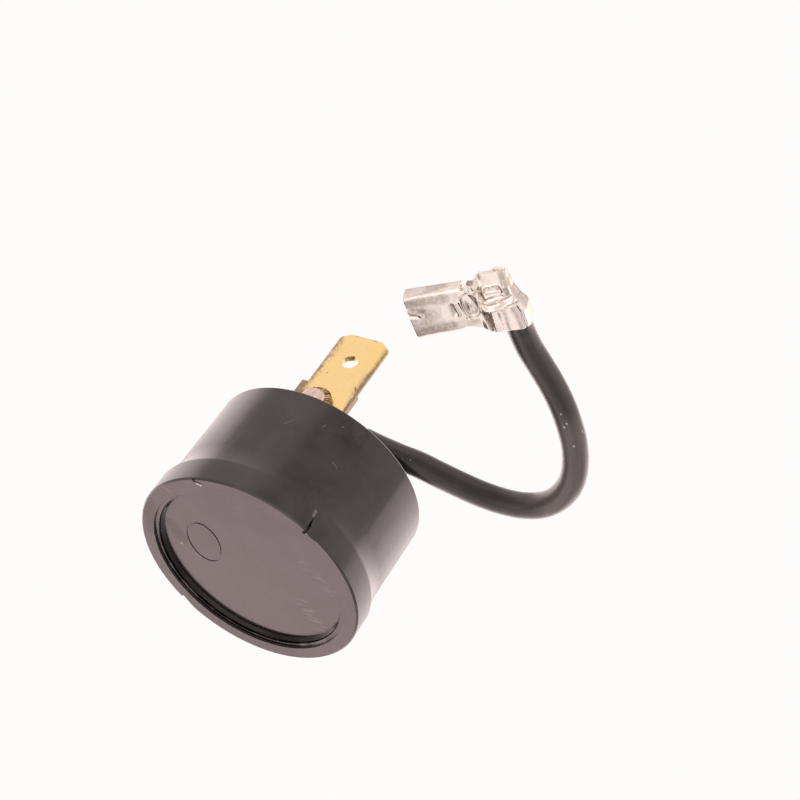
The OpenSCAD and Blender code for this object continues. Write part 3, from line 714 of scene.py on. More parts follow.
def flag_tin():
    """Tin plating: bright, with drawn lines along the strip, dull patches, and painted shade and dark
    reflections in its creases and hollows.
    """
    colour = bpy.context.scene.protector_flag.colour
    shader, place = material("flag_tin_plated")
    local = value("ShaderNodeMapping", {
        "Vector": place, "Location": lead_bends()[-1], "Rotation": flag_frame().to_3x3().to_euler(),
    }, vector_type="TEXTURE")
    cloud = noise(local, 0.9, detail=5, roughness=0.6, distortion=0.4)
    lines = noise(stretched(local, (0.5, 3.5, 2)), 3.2, detail=4, roughness=0.65)
    warm = ramp(noise(local, 0.5, detail=2), 0.52, 0.75)
    specks = use("Dust", Place=local, Scale=2.4, Size=0.16, Share=0.14)["Mask"]
    flat = stretched(local, (1, 1, 0))
    shades = largest(*(scratch(flat, (*start, 0), (*end, 0), width) * strength
                       for start, end, width, strength in FLAG_SHADES))
    outside = ramp(split(local)[2], 0.0, -0.5)
    ragged = ramp(noise(local, 2.4, detail=4), 0.32, 0.6, 0.5, 1.0)
    base = tint(ramp(cloud, 0.35, 0.7), [c * 0.90 for c in colour], colour)
    base = tint(warm * 0.35, base, (0.80, 0.66, 0.50))
    base = tint(specks * 0.5, base, (0.30, 0.24, 0.20))
    # Painted shade: the strokes darken the outer side where shade and dark reflections fall
    base = tint(shades * outside * ragged, base, (0.15, 0.105, 0.085))
    rough = ramp(cloud, 0.3, 0.7, 0.12, 0.26) + ramp(lines, 0.3, 0.7, 0.0, 0.06)
    normal = bump(lines, 0.004, 0.7, bump(noise(local, 0.9, detail=2), 0.05, 0.8))
    feed(shader, Base_Color=base, Roughness=rough, Normal=normal, Metallic=1.0,
         Specular_Tint=(0.50, 0.45, 0.41, 1))


# A painted highlight along the lead's bend, and pale flecks on it, each by its start and its end
LEAD_BEND_HIGHLIGHT = (((28.3, -6.6, 24.7), (28.8, -3.0, 23.3)), ((28.8, -3.0, 23.3), (27.0, 0.2, 22.1)))
LEAD_FLECKS = (
    ((27.29, -9.98, 24.73), (27.30, -9.92, 24.72)), ((27.96, -9.00, 24.47), (28.0, -8.95, 24.46)),
    ((27.73, -8.63, 24.21), (27.80, -8.60, 24.20)), ((29.34, -7.71, 25.12), (29.36, -7.60, 25.10)),
    ((29.05, -6.84, 23.51), (29.05, -6.80, 23.50)),
)


def insulation():
    """Soft black insulation with long faint drag lines and a little dust."""
    colour = bpy.context.scene.protector_lead.colour
    shader, place = material("insulation_black")
    tree = home(place)
    lay = source(tree, "ShaderNodeAttribute", "Vector", attribute_name="lay")
    facing = source(tree, "ShaderNodeLayerWeight", "Facing", {"Blend": 0.5})
    drag = noise(stretched(lay, (1, 1, 0.05)), 2.2, detail=4, roughness=0.6)
    cloud = noise(place, 0.35, detail=4)
    warm = (colour[0] * 1.6 + 0.006, colour[1] * 1.5 + 0.004, colour[2] * 1.4 + 0.003)
    specks = use("Dust", Place=place, Scale=1.3, Size=0.10, Share=0.10)["Mask"]
    base = tint(ramp(drag, 0.35, 0.68), colour, warm)
    base = tint(ramp(cloud, 0.5, 0.8, 0.0, 0.35), base, (0.075, 0.066, 0.062))
    # Painted highlight: the lead is lighter over its bend
    base = tint(marks(place, LEAD_BEND_HIGHLIGHT, 8.5) * 0.7, base, (0.15, 0.127, 0.117))
    base = tint(largest(specks, marks(place, LEAD_FLECKS, 0.30)), base, (0.55, 0.52, 0.50))
    waves = bump(noise(stretched(lay, (1, 1, 0.5)), 1.1, detail=2), 0.012, 0.6)
    feed(shader, Base_Color=base, Roughness=ramp(drag, 0.3, 0.7, 0.24, 0.36),
         Normal=bump(noise(place, 16, detail=3), 0.003, 0.6, waves),
         Specular_IOR_Level=0.40, Coat_Weight=ramp(facing, 0.01, 0.20, 0.0, 0.38), Coat_IOR=1.8,
         Coat_Roughness=0.30, Sheen_Weight=0.7, Sheen_Roughness=0.35, Sheen_Tint=(1.0, 0.92, 0.88, 1))


def seal_varnish():
    """A drop of red sealing varnish."""
    shader, place = material("seal_varnish_red")
    cloud = noise(place, 0.8, detail=4)
    base = tint(ramp(cloud, 0.3, 0.7), (0.22, 0.016, 0.012), (0.42, 0.05, 0.03))
    feed(shader, Base_Color=base, Roughness=ramp(cloud, 0.3, 0.7, 0.12, 0.3), Coat_Weight=0.5,
         Normal=bump(noise(place, 1.2, detail=3), 0.03, 0.7))


# Name of the material, clean colour, tarnish, roughness, nodes
PLAIN_METALS = (
    ("bracket_brass_rolled", (0.80, 0.54, 0.20), (0.32, 0.20, 0.10), 0.32, ()),
    ("insert_brass_turned", (0.84, 0.60, 0.26), (0.40, 0.26, 0.12), 0.26, ("screw_insert",)),
    ("lug_brass_stamped", (0.80, 0.60, 0.34), (0.34, 0.22, 0.12), 0.32, ()),
    ("contact_copper_rivet", (0.78, 0.52, 0.36), (0.34, 0.18, 0.10), 0.34, ()),
    ("contact_silver_face", (0.84, 0.83, 0.80), (0.40, 0.36, 0.30), 0.28,
     ("moving_contact_a", "moving_contact_b")),
    ("bimetal_rolled", (0.52, 0.49, 0.44), (0.34, 0.26, 0.20), 0.34, ("bimetal_disc",)),
    ("heater_alloy_drawn", (0.40, 0.37, 0.35), (0.16, 0.13, 0.12), 0.42, ("heater_wire",)),
    ("strap_steel_rolled", (0.58, 0.56, 0.53), (0.34, 0.28, 0.22), 0.36, ("contact_strap", "lead_strap")),
    ("screw_steel_turned", (0.62, 0.58, 0.50), (0.34, 0.26, 0.18), 0.32, ("adjusting_screw",)),
    ("spring_steel_drawn", (0.50, 0.49, 0.47), (0.26, 0.22, 0.18), 0.34, ()),
    ("strand_copper_drawn", (0.90, 0.52, 0.34), (0.42, 0.20, 0.11), 0.30, ()),
)


def build_materials():
    """Builds the shared effects and every finish, and dresses the inner nodes that the scene keeps."""
    for build in (
            build_scratch_group, build_dust_group, build_tarnish_group, build_wear_group, build_shaded_side_group,
            case_plastic, cover_plastic, blade_brass, rivet_metal, flag_tin, insulation, seal_varnish):
        build()
    for name, clean, darker, roughness, nodes in PLAIN_METALS:
        worn_metal(name, clean, darker, roughness)
        for node in nodes:
            dress(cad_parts[node], name)


# The lead and its strands, with lengths in millimetres

# Spacing of the points of its route, and the stretch in which it narrows to go into the grip
ROUTE_STEP = 0.35
SQUEEZE = 0.5

# Points along a strand, sides of its section, and how much shorter than their bar the crimped ones are
STRAND_POINTS = 24
STRAND_SIDES = 10
STRANDS_CUT = 1.3


def smooth_route(points, step):
    """Points a step apart along a smooth curve through the given ones."""
    padded = [2 * points[0] - points[1], *points, 2 * points[-1] - points[-2]]
    route = []
    for before, a, b, after in zip(padded, padded[1:], padded[2:], padded[3:]):
        parts = max(1, round((b - a).length / step))
        for i in range(parts):
            t = i / parts
            route.append(0.5 * (2 * a + (b - before) * t + (2 * before - 5 * a + 4 * b - after) * t ** 2
                                + (3 * a - before - 3 * b + after) * t ** 3))
    return [*route, points[-1]]


def path_curve(name, points):
    """A curve object with one open straight-stepped spline through those points, in metres."""
    path = bpy.data.curves.new(name, "CURVE")
    path.dimensions = "3D"
    spline = path.splines.new("POLY")
    spline.points.add(len(points) - 1)
    for place, point in zip(spline.points, points):
        place.co = (*point, 1)
    return link(name, path)


def nodes_mesh(piece, tree, **inputs):
    """Runs a geometry node tree on a piece with those inputs and keeps the result as a plain mesh."""
    modifier = piece.modifiers.new(tree.name, "NODES")
    modifier.node_group = tree
    for item in tree.interface.items_tree:
        label = item.name.replace(" ", "_")
        if item.item_type == "SOCKET" and item.in_out == "INPUT" and label in inputs:
            modifier[item.identifier] = inputs[label]
    return applied(piece)


def geometry_tree(name, **inputs):
    """A geometry node tree with inputs of those kinds; gives the tree, its inputs and its end."""
    tree = bpy.data.node_groups.new(name, "GeometryNodeTree")
    for label, kind in (("Geometry", "Geometry"), *inputs.items()):
        tree.interface.new_socket(label.replace("_", " "), in_out="INPUT", socket_type="NodeSocket" + kind)
    tree.interface.new_socket("Geometry", in_out="OUTPUT", socket_type="NodeSocketGeometry")
    return tree, values(tree.nodes.new("NodeGroupInput").outputs), tree.nodes.new("NodeGroupOutput")


def close_tree(geometry, out, surface):
    """Ends a tree in smooth real meshes with their material."""
    smooth = value("GeometryNodeSetShadeSmooth", {"Geometry": geometry})
    real = value("GeometryNodeRealizeInstances", {0: smooth})
    feed(out, Geometry=value("GeometryNodeSetMaterial", {"Geometry": real, "Material": surface}))


def captured(geometry, label, given):
    """Keeps a number on each point of a geometry; gives the geometry and the kept number."""
    node = put(home(geometry), "GeometryNodeCaptureAttribute", {0: geometry})
    node.capture_items.new("FLOAT", label)
    fill(node.inputs[1], given)
    return Value(node.outputs[0]), Value(node.outputs[1])


def insulation_tree():
    """Sweeps a round section along the route, thinner where it is squeezed, and stores how it lies."""
    tree, given, out = geometry_tree(
        "Insulation along a route", Diameter="Float", Squeezed_diameter="Float", Squeezed_from="Float",
        Sides="Int", Material="Material")
    spline = values(put(tree, "GeometryNodeSplineParameter").outputs)
    start = given["Squeezed from"]
    radius = ramp(spline["Length"], start, start + SQUEEZE * MM,
                  given["Diameter"] * 0.5, given["Squeezed diameter"] * 0.5, smooth=False)
    route, along = captured(given["Geometry"], "Along", spline["Length"])
    ring = value("GeometryNodeCurvePrimitiveCircle", {"Resolution": given["Sides"], "Radius": 1.0})
    section, around = captured(ring, "Around", spline["Factor"] * math.tau)
    tube = value("GeometryNodeCurveToMesh", {
        "Curve": route, "Profile Curve": section, "Scale": radius, "Fill Caps": True})
    lay = joined(maths("COSINE", around), maths("SINE", around), along * (1 / MM))
    stored = value("GeometryNodeStoreNamedAttribute", {"Geometry": tube, "Name": "lay", "Value": lay},
                   data_type="FLOAT_VECTOR", domain="POINT")
    close_tree(stored, out, given["Material"])
    return tree


def strands_tree():
    """Lays one strand in the middle, six round it and twelve round those, all twisted together."""
    tree, given, out = geometry_tree(
        "Twisted strands", Strands="Int", Strand="Float", Twist="Float", Material="Material")
    fine = value("GeometryNodeResampleCurve", {"Curve": given["Geometry"], "Count": STRAND_POINTS})
    copies = values(put(tree, "GeometryNodeDuplicateElements", {
        "Geometry": fine, "Amount": given["Strands"]}, domain="SPLINE").outputs)
    index = copies["Duplicate Index"]
    outer = maths("GREATER_THAN", index, 6.5)
    ring = outer + maths("GREATER_THAN", index, 0.5)
    step = math.radians(60) - outer * math.radians(30)
    turns = source(tree, "GeometryNodeSplineParameter", "Factor") * given["Twist"]
    angle = index * step + turns * math.tau
    reach = ring * given["Strand"]
    normal = source(tree, "GeometryNodeInputNormal")
    side = vector_maths("CROSS_PRODUCT", source(tree, "GeometryNodeInputTangent"), normal)
    away = vector_maths("ADD", scaled(normal, reach * maths("COSINE", angle)),
                        scaled(side, reach * maths("SINE", angle)))
    placed = value("GeometryNodeSetPosition", {"Geometry": copies["Geometry"], "Offset": away})
    section = value("GeometryNodeCurvePrimitiveCircle", {
        "Resolution": STRAND_SIDES, "Radius": given["Strand"] * 0.5})
    wires = value("GeometryNodeCurveToMesh", {"Curve": placed, "Profile Curve": section, "Fill Caps": True})
    close_tree(wires, out, given["Material"])
    return tree


def lead_route():
    """The lead's centreline from its terminal into the flag's barrel, in metres."""
    bends = lead_bends()
    ahead = -(flag_frame().to_3x3() @ Vector((0, 1, 0)))
    inside = [bends[-1] + ahead * LEAD_END * share for share in (1 / 3, 2 / 3, 1)]
    return [p * MM for p in smooth_route(bends + inside, ROUTE_STEP)]


def build_insulation():
    """The lead's insulation; gives the piece, its route and its length."""
    settings = bpy.context.scene.protector_lead
    route = lead_route()
    length = sum((b - a).length for a, b in zip(route, route[1:]))
    squeezed_from = length - (LEAD_END - GRIP_START) * MM
    piece = nodes_mesh(path_curve("lead_insulation", route), insulation_tree(), Diameter=settings.diameter,
                       Squeezed_diameter=settings.squeezed, Squeezed_from=squeezed_from,
                       Sides=settings.sides, Material=bpy.data.materials["insulation_black"])
    finished(piece, "insulation_black", "insulation", "lead")
    return piece, route, length


def build_strands(name, node, tree, cut):
    """A bundle of twisted strands in the place of a node's round bar, its far end cut millimetres short."""
    settings = bpy.context.scene.protector_lead
    points = np.array([v.co[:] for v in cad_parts[node].data.vertices])
    middle = points.mean(axis=0)
    axis = np.linalg.svd(points - middle)[2][0]
    reach = (points - middle) @ axis
    ends = [Vector(middle + axis * r) for r in (reach.min(), reach.max())]
    if cut:
        far = max(ends, key=lambda p: (p - lead_bends()[-1] * MM).length)
        near = ends[0] if far is ends[1] else ends[1]
        ends = [near, far + (near - far).normalized() * cut * MM]
    piece = nodes_mesh(path_curve(name, ends), tree, Strands=settings.strands, Strand=settings.strand,
                       Twist=settings.twist, Material=bpy.data.materials["strand_copper_drawn"])
    return finished(piece, "strand_copper_drawn", "strand_copper", node)


# The flag receptacle

def soft_step(given, low, high):
    """0 below low, 1 above high and smooth between, for numbers or arrays."""
    t = np.clip((given - low) / (high - low), 0, 1)
    return t * t * (3 - 2 * t)


def bell(distance, width):
    """1 at no distance, falling softly over the width."""
    return np.exp(-(distance / width) ** 2)


def within(given, low, high, blur):
    """1 between low and high and 0 outside them, with soft ends."""
    return soft_step(given, low - blur, low + blur) * (1 - soft_step(given, high - blur, high + blur))


def stroke(x, y, start, end, width):
    """A soft line from start to end: 1 along it and 0 beyond its width."""
    ax, ay = end[0] - start[0], end[1] - start[1]
    t = np.clip(((x - start[0]) * ax + (y - start[1]) * ay) / (ax * ax + ay * ay), 0, 1)
    return bell(np.hypot(x - start[0] - t * ax, y - start[1] - t * ay), width)


def squared(p, centre, radii, power, share):
    """Makes a round section boxier: p is changed in place where share is above 0."""
    side, up = (p[:, 0] - centre[0]) / radii[0], (p[:, 2] - centre[1]) / radii[1]
    round_size = np.hypot(side, up)
    box_size = (np.abs(side) ** power + np.abs(up) ** power) ** (1 / power) + 1e-9
    grow = 1 + share * (np.clip(round_size / box_size, 1, 1.2) - 1) * soft_step(round_size, 0.6, 0.9)
    p[:, 0] = centre[0] + (p[:, 0] - centre[0]) * grow
    p[:, 2] = centre[1] + (p[:, 2] - centre[1]) * grow


# Creases of the sheet in its own frame: start, end, width and how far each stands out
PLATE_CREASES = (
    ((-10.8, -5.9), (-9.3, -5.0), 0.25, 0.10), ((-10.8, -5.3), (-9.8, -5.0), 0.20, -0.12),
    ((-10.8, -6.6), (-8.4, -6.4), 0.60, -0.05), ((-5.55, -5.7), (-5.35, -4.2), 0.14, 0.08),
    ((-5.85, -5.6), (-5.65, -4.4), 0.14, -0.12), ((-4.85, -5.9), (-4.5, -3.7), 0.14, 0.10),
    ((-3.75, -6.9), (-2.9, -4.6), 0.13, 0.14),
)
BARREL_CREASES = (
    ((-2.1, -5.98), (-0.2, -6.12), 0.12, 0.14), ((-1.9, -5.62), (-0.3, -5.8), 0.13, -0.14),
    ((-2.5, -7.0), (-2.15, -5.5), 0.13, -0.20), ((0.1, -8.0), (0.45, -5.8), 0.18, 0.14),
)
GRIP_CREASES = (((-2.65, -4.2), (-2.3, -1.4), 0.16, -0.18), ((-2.1, -3.6), (-2.1, -1.6), 0.16, 0.03))

# In x of the flag's frame: its neck, where its plate begins to bend, and the wire crimp's middle and ear
NECK = -2.9
BEND_FROM = -6.6
WIRE_MIDDLE = -0.4
EAR = -3.32

# In y, along the lead: the stretches of the insulation grip and of the wire crimp
GRIP = (-4.0, -1.0)
WIRE_CRIMP = (-8.5, -4.0)

# In x and y: the plate's bulge, the wire crimp's crest and crumpled corner, and the ranges of its dent
BULGE = (-3.95, -5.1)
CREST = (-1.9, -4.2)
KNOT = (-2.55, -7.6)
DENT = ((-2.05, -0.2), (-7.05, -6.2))

# Sections that were pressed boxier: centre and radii in x and z, power, and their stretch in y
BOXY_SECTIONS = (
    ((-1.0, -0.2), (1.65, 1.3), 5, (-9, -4.6)), ((-0.375, 0.0), (2.075, 1.7), 3.4, (-4.5, 0)),
)

# The way across the grip's seam, in x and z
ACROSS_SEAM = (0.766, 0.643)


def creased(x, y, creases):
    """How far the sheet stands out at its creases."""
    return sum(out * stroke(x, y, start, end, width) for start, end, width, out in creases)


def plate_lift(x, y):
    """How far the flat plate of the flag and its neck are bent outwards."""
    bent = 0.26 * (np.clip(BEND_FROM - x, 0, 5) / 4.1) ** 2 - 0.16 * soft_step(y, -4.0, -1.9)
    waves = 0.03 * np.sin(x * 1.1) * np.cos(y * 1.3)
    bulge = 0.22 * bell(np.hypot(x - BULGE[0], (y - BULGE[1]) / 2), 0.42)
    return (bent + waves + bulge + creased(x, y, PLATE_CREASES)) * (1 - soft_step(x, NECK - 0.5, NECK + 0.2))


def barrel_lift(x, y):
    """The wire crimp's curved crest, the dent beyond it, its creases and its crumpled corner."""
    arm = np.where(x > CREST[0], 0.17, 0.86)
    from_crest = y - CREST[1] + arm * (x - CREST[0]) ** 2
    crest = 0.22 * bell(from_crest, 0.24) - 0.16 * bell(from_crest + 0.52, 0.26)
    dent = -0.28 * within(x, *DENT[0], 0.14) * within(y, *DENT[1], 0.16)
    barrel = soft_step(x, NECK, NECK + 0.4) * within(y, *WIRE_CRIMP, 0.3)
    knot = bell(np.hypot(x - KNOT[0], (y - KNOT[1]) * 0.7), 0.65)
    crumpled = 0.16 * knot * np.sin(7.5 * x + 1) * np.sin(6.5 * y + 0.6)
    return (crest + dent + creased(x, y, BARREL_CREASES)) * barrel + crumpled


def grip_lift(x, y):
    """The creases of the insulation grip."""
    grip = soft_step(x, NECK, NECK + 0.3) * within(y, *GRIP, 0.3)
    return (creased(x, y, GRIP_CREASES) + 0.02 * np.sin(x * 2.1 + y * 0.8)) * grip


def press(p):
    """Moves points of the folded sheet, in millimetres in the flag's frame, as its crimping tool did."""
    p = p.copy()
    x, y, z = p.T.copy()
    right = soft_step(x, -1.1, -0.5)
    for centre, radii, power, stretch in BOXY_SECTIONS:
        squared(p, centre, radii, power, within(y, *stretch, 0.1) * right)

    # The seam of the grip is nearly shut
    across_x, across_z = ACROSS_SEAM
    beside = x * across_x + z * across_z
    out_of = x * across_z - z * across_x
    shut = -0.62 * beside * bell(beside, 0.22) * soft_step(out_of, 0.9, 1.2) * (y > -4.9)
    p[:, 0] += shut * across_x
    p[:, 2] += shut * across_z

    # Its right side tapers to the strands' barrel
    edge = 1.70 - 0.95 * np.clip((-3.2 - y) / 2.7, 0, 1)
    before = 1.70 - 1.05 * soft_step(-y, 4.62, 4.72)
    p[:, 0] += np.clip(p[:, 0] - WIRE_MIDDLE, 0, None) * ((edge - WIRE_MIDDLE) / (before - WIRE_MIDDLE) - 1)
    p[:, 2] -= np.clip(p[:, 2] - 0.2, 0, None) * 0.40 * soft_step(-y, 3.0, 4.6) * (y > -4.72)

    # The barrel's far end is pinched shut
    near = soft_step(x, NECK - 0.05, NECK + 0.3)
    bore = 1 - soft_step(np.hypot(x - WIRE_MIDDLE, z), 0.72, 0.85)
    t = bore * soft_step(-y, 6.3, 7.0)
    p[:, 0] += t * (WIRE_MIDDLE - p[:, 0]) * 0.9
    p[:, 2] += t * (0.0 - p[:, 2]) * 0.95
    t = near * soft_step(-y, 6.7, 7.95) ** 1.3
    p[:, 2] += t * (0.15 - p[:, 2]) * 0.85
    p[:, 0] += near * soft_step(-y, 6.2, 7.6) * (0.25 - 0.37 * soft_step(x, -1.7, -0.3))
    corner = soft_step(z, 0.3, 0.7) * soft_step(x, -1.0, -0.6)
    p[:, 1] -= near * soft_step(-y, 7.0, 7.8) * (0.30 + 0.30 * corner)

    # An ear beside the end of the upper rolled edge
    p[:, 1] -= 0.85 * bell(x - EAR, 0.56) * soft_step(-y, 6.7, 7.3)
    p[:, 2] += 0.30 * bell(x - EAR, 0.6) * soft_step(-y, 7.0, 7.6)

    outer_side = 1 - soft_step(z, -1.2, -0.75)
    p[:, 2] -= (plate_lift(x, y) + barrel_lift(x, y) + grip_lift(x, y)) * outer_side
    return p


def build_flag():
    """The folded sheet: its solid drawn with small faces, softened along its folds and pressed."""
    settings = bpy.context.scene.protector_flag
    piece = made_piece(closed_copy("flag_receptacle"), "flag_sheet")
    fine = piece.modifiers.new("Small faces", "REMESH")
    fine.mode = "VOXEL"
    fine.voxel_size = settings.voxel
    soft = piece.modifiers.new("Softened folds", "SMOOTH")
    soft.factor = 0.5
    soft.iterations = settings.softening
    piece = applied(piece)
    flat = np.empty(len(piece.data.vertices) * 3)
    piece.data.vertices.foreach_get("co", flat)
    placed = flag_frame()
    turn = np.array(placed.to_3x3())
    origin = np.array(placed.translation)
    local = (flat.reshape(-1, 3) / MM - origin) @ turn
    pressed = press(local) @ turn.T + origin
    piece.data.vertices.foreach_set("co", (pressed * MM).ravel())
    piece.data.shade_smooth()
    piece.data.update()
    return finished(piece, "flag_tin_plated", "flag_tin", "flag_receptacle")


# The spring and the drop of sealing varnish

STEPS_PER_TURN = 48


def build_spring():
    """Winds the disc's spring from round wire, between the screw's head and the disc."""
    settings = bpy.context.scene.protector_spring
    low, high = node_box("disc_spring")
    wire = settings.wire / MM
    reach = (high.x - low.x - wire) / 2
    rise = high.z - low.z - wire
    steps = round(STEPS_PER_TURN * settings.turns)
    points = []
    for i in range(steps + 1):
        angle = math.tau * settings.turns * i / steps
        points.append(Vector((reach * math.cos(angle), reach * math.sin(angle),
                              low.z + wire / 2 + rise * i / steps)) * MM)
    coil = path_curve("coil_spring", points)
    coil.data.bevel_depth = settings.wire / 2
    coil.data.bevel_resolution = 4
    coil.data.use_fill_caps = True
    piece = applied(coil)
    piece.data.shade_smooth()
    return finished(piece, "spring_steel_drawn", "spring_steel", "disc_spring")


def build_varnish():
    """An uneven dome of varnish over the adjusting screw."""
    low, high = node_box("screw_seal")
    radius = (high.x - low.x) / 2
    work = bmesh.new()
    bmesh.ops.create_icosphere(work, subdivisions=5, radius=1.0)
    for vert in work.verts:
        x, y, z = vert.co
        angle = math.atan2(y, x)
        spread = 0.93 + 0.05 * math.sin(2 * angle + 0.7) + 0.02 * math.sin(5 * angle)
        side = math.hypot(x, y)
        height = (high.z - low.z) * max(z, 0) * (0.92 + 0.06 * math.sin(3 * x + 1) * math.cos(2.4 * y))
        swell = side ** 0.8 / side if side > 0 else 1
        vert.co = Vector((x * radius * spread * swell, y * radius * spread * swell, low.z + height)) * MM
    merge(work, 0.003)
    finished(made_piece(work, "sealing_drop"), "seal_varnish_red", "seal_varnish", "screw_seal")


# Camera, lamps, backdrop and floor

# The camera's place in millimetres, its turn about X, Y and Z in degrees, and the way that its back looks
CAMERA_PLACE = Vector((163.689, -251.01, -183.354))
CAMERA_ANGLES = (131.2356, -28.2485, 10.0684)
CAMERA_TURN = Euler([math.radians(angle) for angle in CAMERA_ANGLES]).to_matrix()
CAMERA_BACK = CAMERA_TURN.col[2]

# Name of each lamp, its azimuth and elevation as seen from the part, its distance, its size and its power
LAMPS = (
    ("low_softbox", 123, -31, 0.60, 0.42, 1.0),
    ("left_softbox", 176, 34, 0.60, 0.34, 0.7),
    ("right_softbox", 66, 36, 0.60, 0.34, 0.7),
    ("front_softbox", -60, 30, 0.80, 0.40, 0.6),
)

# Brightness of the surround in the gloss of upright faces, by the bearing that such a face looks to
ROUND_THE_CASE = (
    (-180, 1.0), (-147, 1.15), (-136, 1.6), (-126, 1.95), (-120, 2.05), (-115, 1.85), (-111, 1.6),
    (-107, 0.95), (-101, 0.93), (-91, 1.13), (-84, 1.2), (-75, 1.07), (-71, 0.80), (-51, 0.82), (-36, 0.98),
    (-20, 1.03), (-16.5, 1.95), (-11, 2.15), (-5, 2.4), (4, 2.4), (10, 2.2), (19, 1.8), (28, 1.25),
    (45, 1.0), (180, 1.0),
)

# Soft patches of the surround: azimuth, elevation, inner and outer reach in degrees, and how much is added
LOW_PATCHES = (
    (122.6, -35.5, 10, 27, 0.47), (55, -50, 4, 17, -0.55), (90, -20, 8, 26, -0.80),
    (-108, -35, 6, 30, 0.08), (-60, 80, 10, 40, -0.2), (28, -10, 8, 30, -0.45), (62, 6, 6, 22, -0.38),
    (95, 8, 6, 20, -0.30), (-80, -64, 5, 34, 0.85),
)


def aim(azimuth, elevation):
    """The way from the part to that azimuth and elevation, in degrees."""
    a, e = math.radians(azimuth), math.radians(elevation)
    return Vector((math.cos(a) * math.cos(e), math.sin(a) * math.cos(e), math.sin(e)))


# What the lamps look at, in metres
LAMP_AIM = Vector((0.004, -0.004, 0.012))


def build_lamps():
    """Round soft lamps, hidden from the camera and from the gloss."""
    for name, azimuth, elevation, distance, size, power in LAMPS:
        lamp = bpy.data.lights.new(name, "AREA")
        lamp.shape = "DISK"
        lamp.size = size
        lamp.energy = power
        holder = link(name, lamp)
        away = aim(azimuth, elevation)
        holder.location = LAMP_AIM + away * distance
        holder.rotation_euler = away.to_track_quat("Z", "Y").to_euler()
        holder.visible_camera = False
        holder.visible_glossy = False


def build_backdrop():
    """A pale surround: plain to the camera, and with the dim side that the case's gloss shows."""
    settings = bpy.context.scene.protector_stage
    world = bpy.data.worlds.new("pale_surround")
    bpy.context.scene.world = world
    world.use_nodes = True
    tree = world.node_tree
    tree.nodes.clear()
    rays = values(put(tree, "ShaderNodeLightPath").outputs)
    way = source(tree, "ShaderNodeTexCoord", "Generated")

    # The face that mirrors this way to the camera looks halfway between the two
    facing = vector_maths("NORMALIZE", vector_maths("ADD", way, CAMERA_BACK))
    x, y, z = split(facing)
    upright = ramp(z, -0.42, -0.2) * ramp(z, 0.97, 0.8)
    bands = curve(maths("ARCTAN2", y, x) * math.degrees(1), ROUND_THE_CASE)
    tilt = vector_maths("DOT_PRODUCT", facing, CAMERA_BACK)
    under = ramp(tilt, 0.75, 0.45) * ramp(tilt, 0.0, 0.3, 0.2, 1.0) * 1.3 + 1.0
    gloss = value("ShaderNodeMix", {0: upright, 2: under, 3: bands}, data_type="FLOAT")
    gloss = gloss + ramp(z, -0.5, -0.8) * ramp(noise(way, 2.6, detail=2), 0.40, 0.60, -0.22, 0.18)
    patches = []
    for azimuth, elevation, inner, outer, change in LOW_PATCHES:
        along = vector_maths("DOT_PRODUCT", way, aim(azimuth, elevation))
        patches.append(ramp(along, math.cos(math.radians(outer)), math.cos(math.radians(inner))))
        gloss = gloss + patches[-1] * change

    plain = largest(rays["Is Camera Ray"], rays["Is Transmission Ray"])
    rest = 1.0 - largest(plain, rays["Is Glossy Ray"])
    strength = plain + rest * settings.ambient + gloss * rays["Is Glossy Ray"]
    sheen = tint(patches[0], (1.08, 0.94, 0.925), (1.0, 0.77, 0.77))
    colour = tint(rays["Is Glossy Ray"], settings.backdrop, sheen)
    surround = value("ShaderNodeBackground", {"Color": colour, "Strength": strength})
    put(tree, "ShaderNodeOutputWorld", {"Surface": surround})


FLOOR_HALF = 1.5


def build_floor():
    """A pale floor under the rim, seen and shaded from above, and clear from below and to other rays."""
    settings = bpy.context.scene.protector_stage
    low, high = -FLOOR_HALF, FLOOR_HALF
    mesh = bpy.data.meshes.new("floor")
    mesh.from_pydata([(low, low, 0), (high, low, 0), (high, high, 0), (low, high, 0)], [], [(0, 1, 2, 3)])
    floor = link("floor", mesh)
    made = bpy.data.materials.new("floor_pale")
    made.use_nodes = True
    tree = made.node_tree
    tree.nodes.clear()
    seen = source(tree, "ShaderNodeLightPath", "Is Camera Ray")
    below = source(tree, "ShaderNodeNewGeometry", "Backfacing")
    paper = source(tree, "ShaderNodeBsdfDiffuse", inputs={"Color": (*settings.floor, 1)})
    clear = source(tree, "ShaderNodeBsdfTransparent")
    shown = value("ShaderNodeMixShader", {0: seen * (1.0 - below), 1: clear, 2: paper})
    put(tree, "ShaderNodeOutputMaterial", {"Surface": shown})
    dress(floor, "floor_pale")


# Operators

class PROTECTOR_OT_camera(bpy.types.Operator):
    """Places the camera at the photograph's viewing angle"""
    bl_idname = "protector.camera"
    bl_label = "Place the camera"

    def execute(self, context):
        lens = bpy.data.cameras.new("camera")
        lens.sensor_width = 36
        lens.lens = context.scene.protector_stage.lens
        lens.clip_start = 0.01
        lens.clip_end = 20
        holder = link("camera", lens)
        holder.matrix_world = Matrix.Translation(CAMERA_PLACE * MM) @ CAMERA_TURN.to_4x4()
        context.scene.camera = holder
        return {"FINISHED"}


class PROTECTOR_OT_lead(bpy.types.Operator):
    """Lays the insulated lead, its strands and the flag receptacle at its end"""
    bl_idname = "protector.lead"
    bl_label = "Lay the lead"

    def execute(self, context):
        tree = strands_tree()
        strands = build_strands("flag_strands", "crimp_strands", tree, STRANDS_CUT)
        build_strands("terminal_copper", "terminal_strands", tree, 0)
        flag = build_flag()
        lead, route, length = build_insulation()
        lead.visible_glossy = False
        return {"FINISHED"}


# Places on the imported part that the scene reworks: heights above the rim, bearings in degrees and radii
RECESS_HEIGHT = 1.9
RECESS_BEARINGS = (313.85, 322.2)
RECESS_EDGE = (12.9, 13.4)
LEDGE_HEIGHT = 0.3
LEDGE_EDGE = 12.2
COVER_BEVEL_HEIGHT = 1.2
COVER_BEVEL_EDGE = 11
OVAL_HEIGHT = 1.02

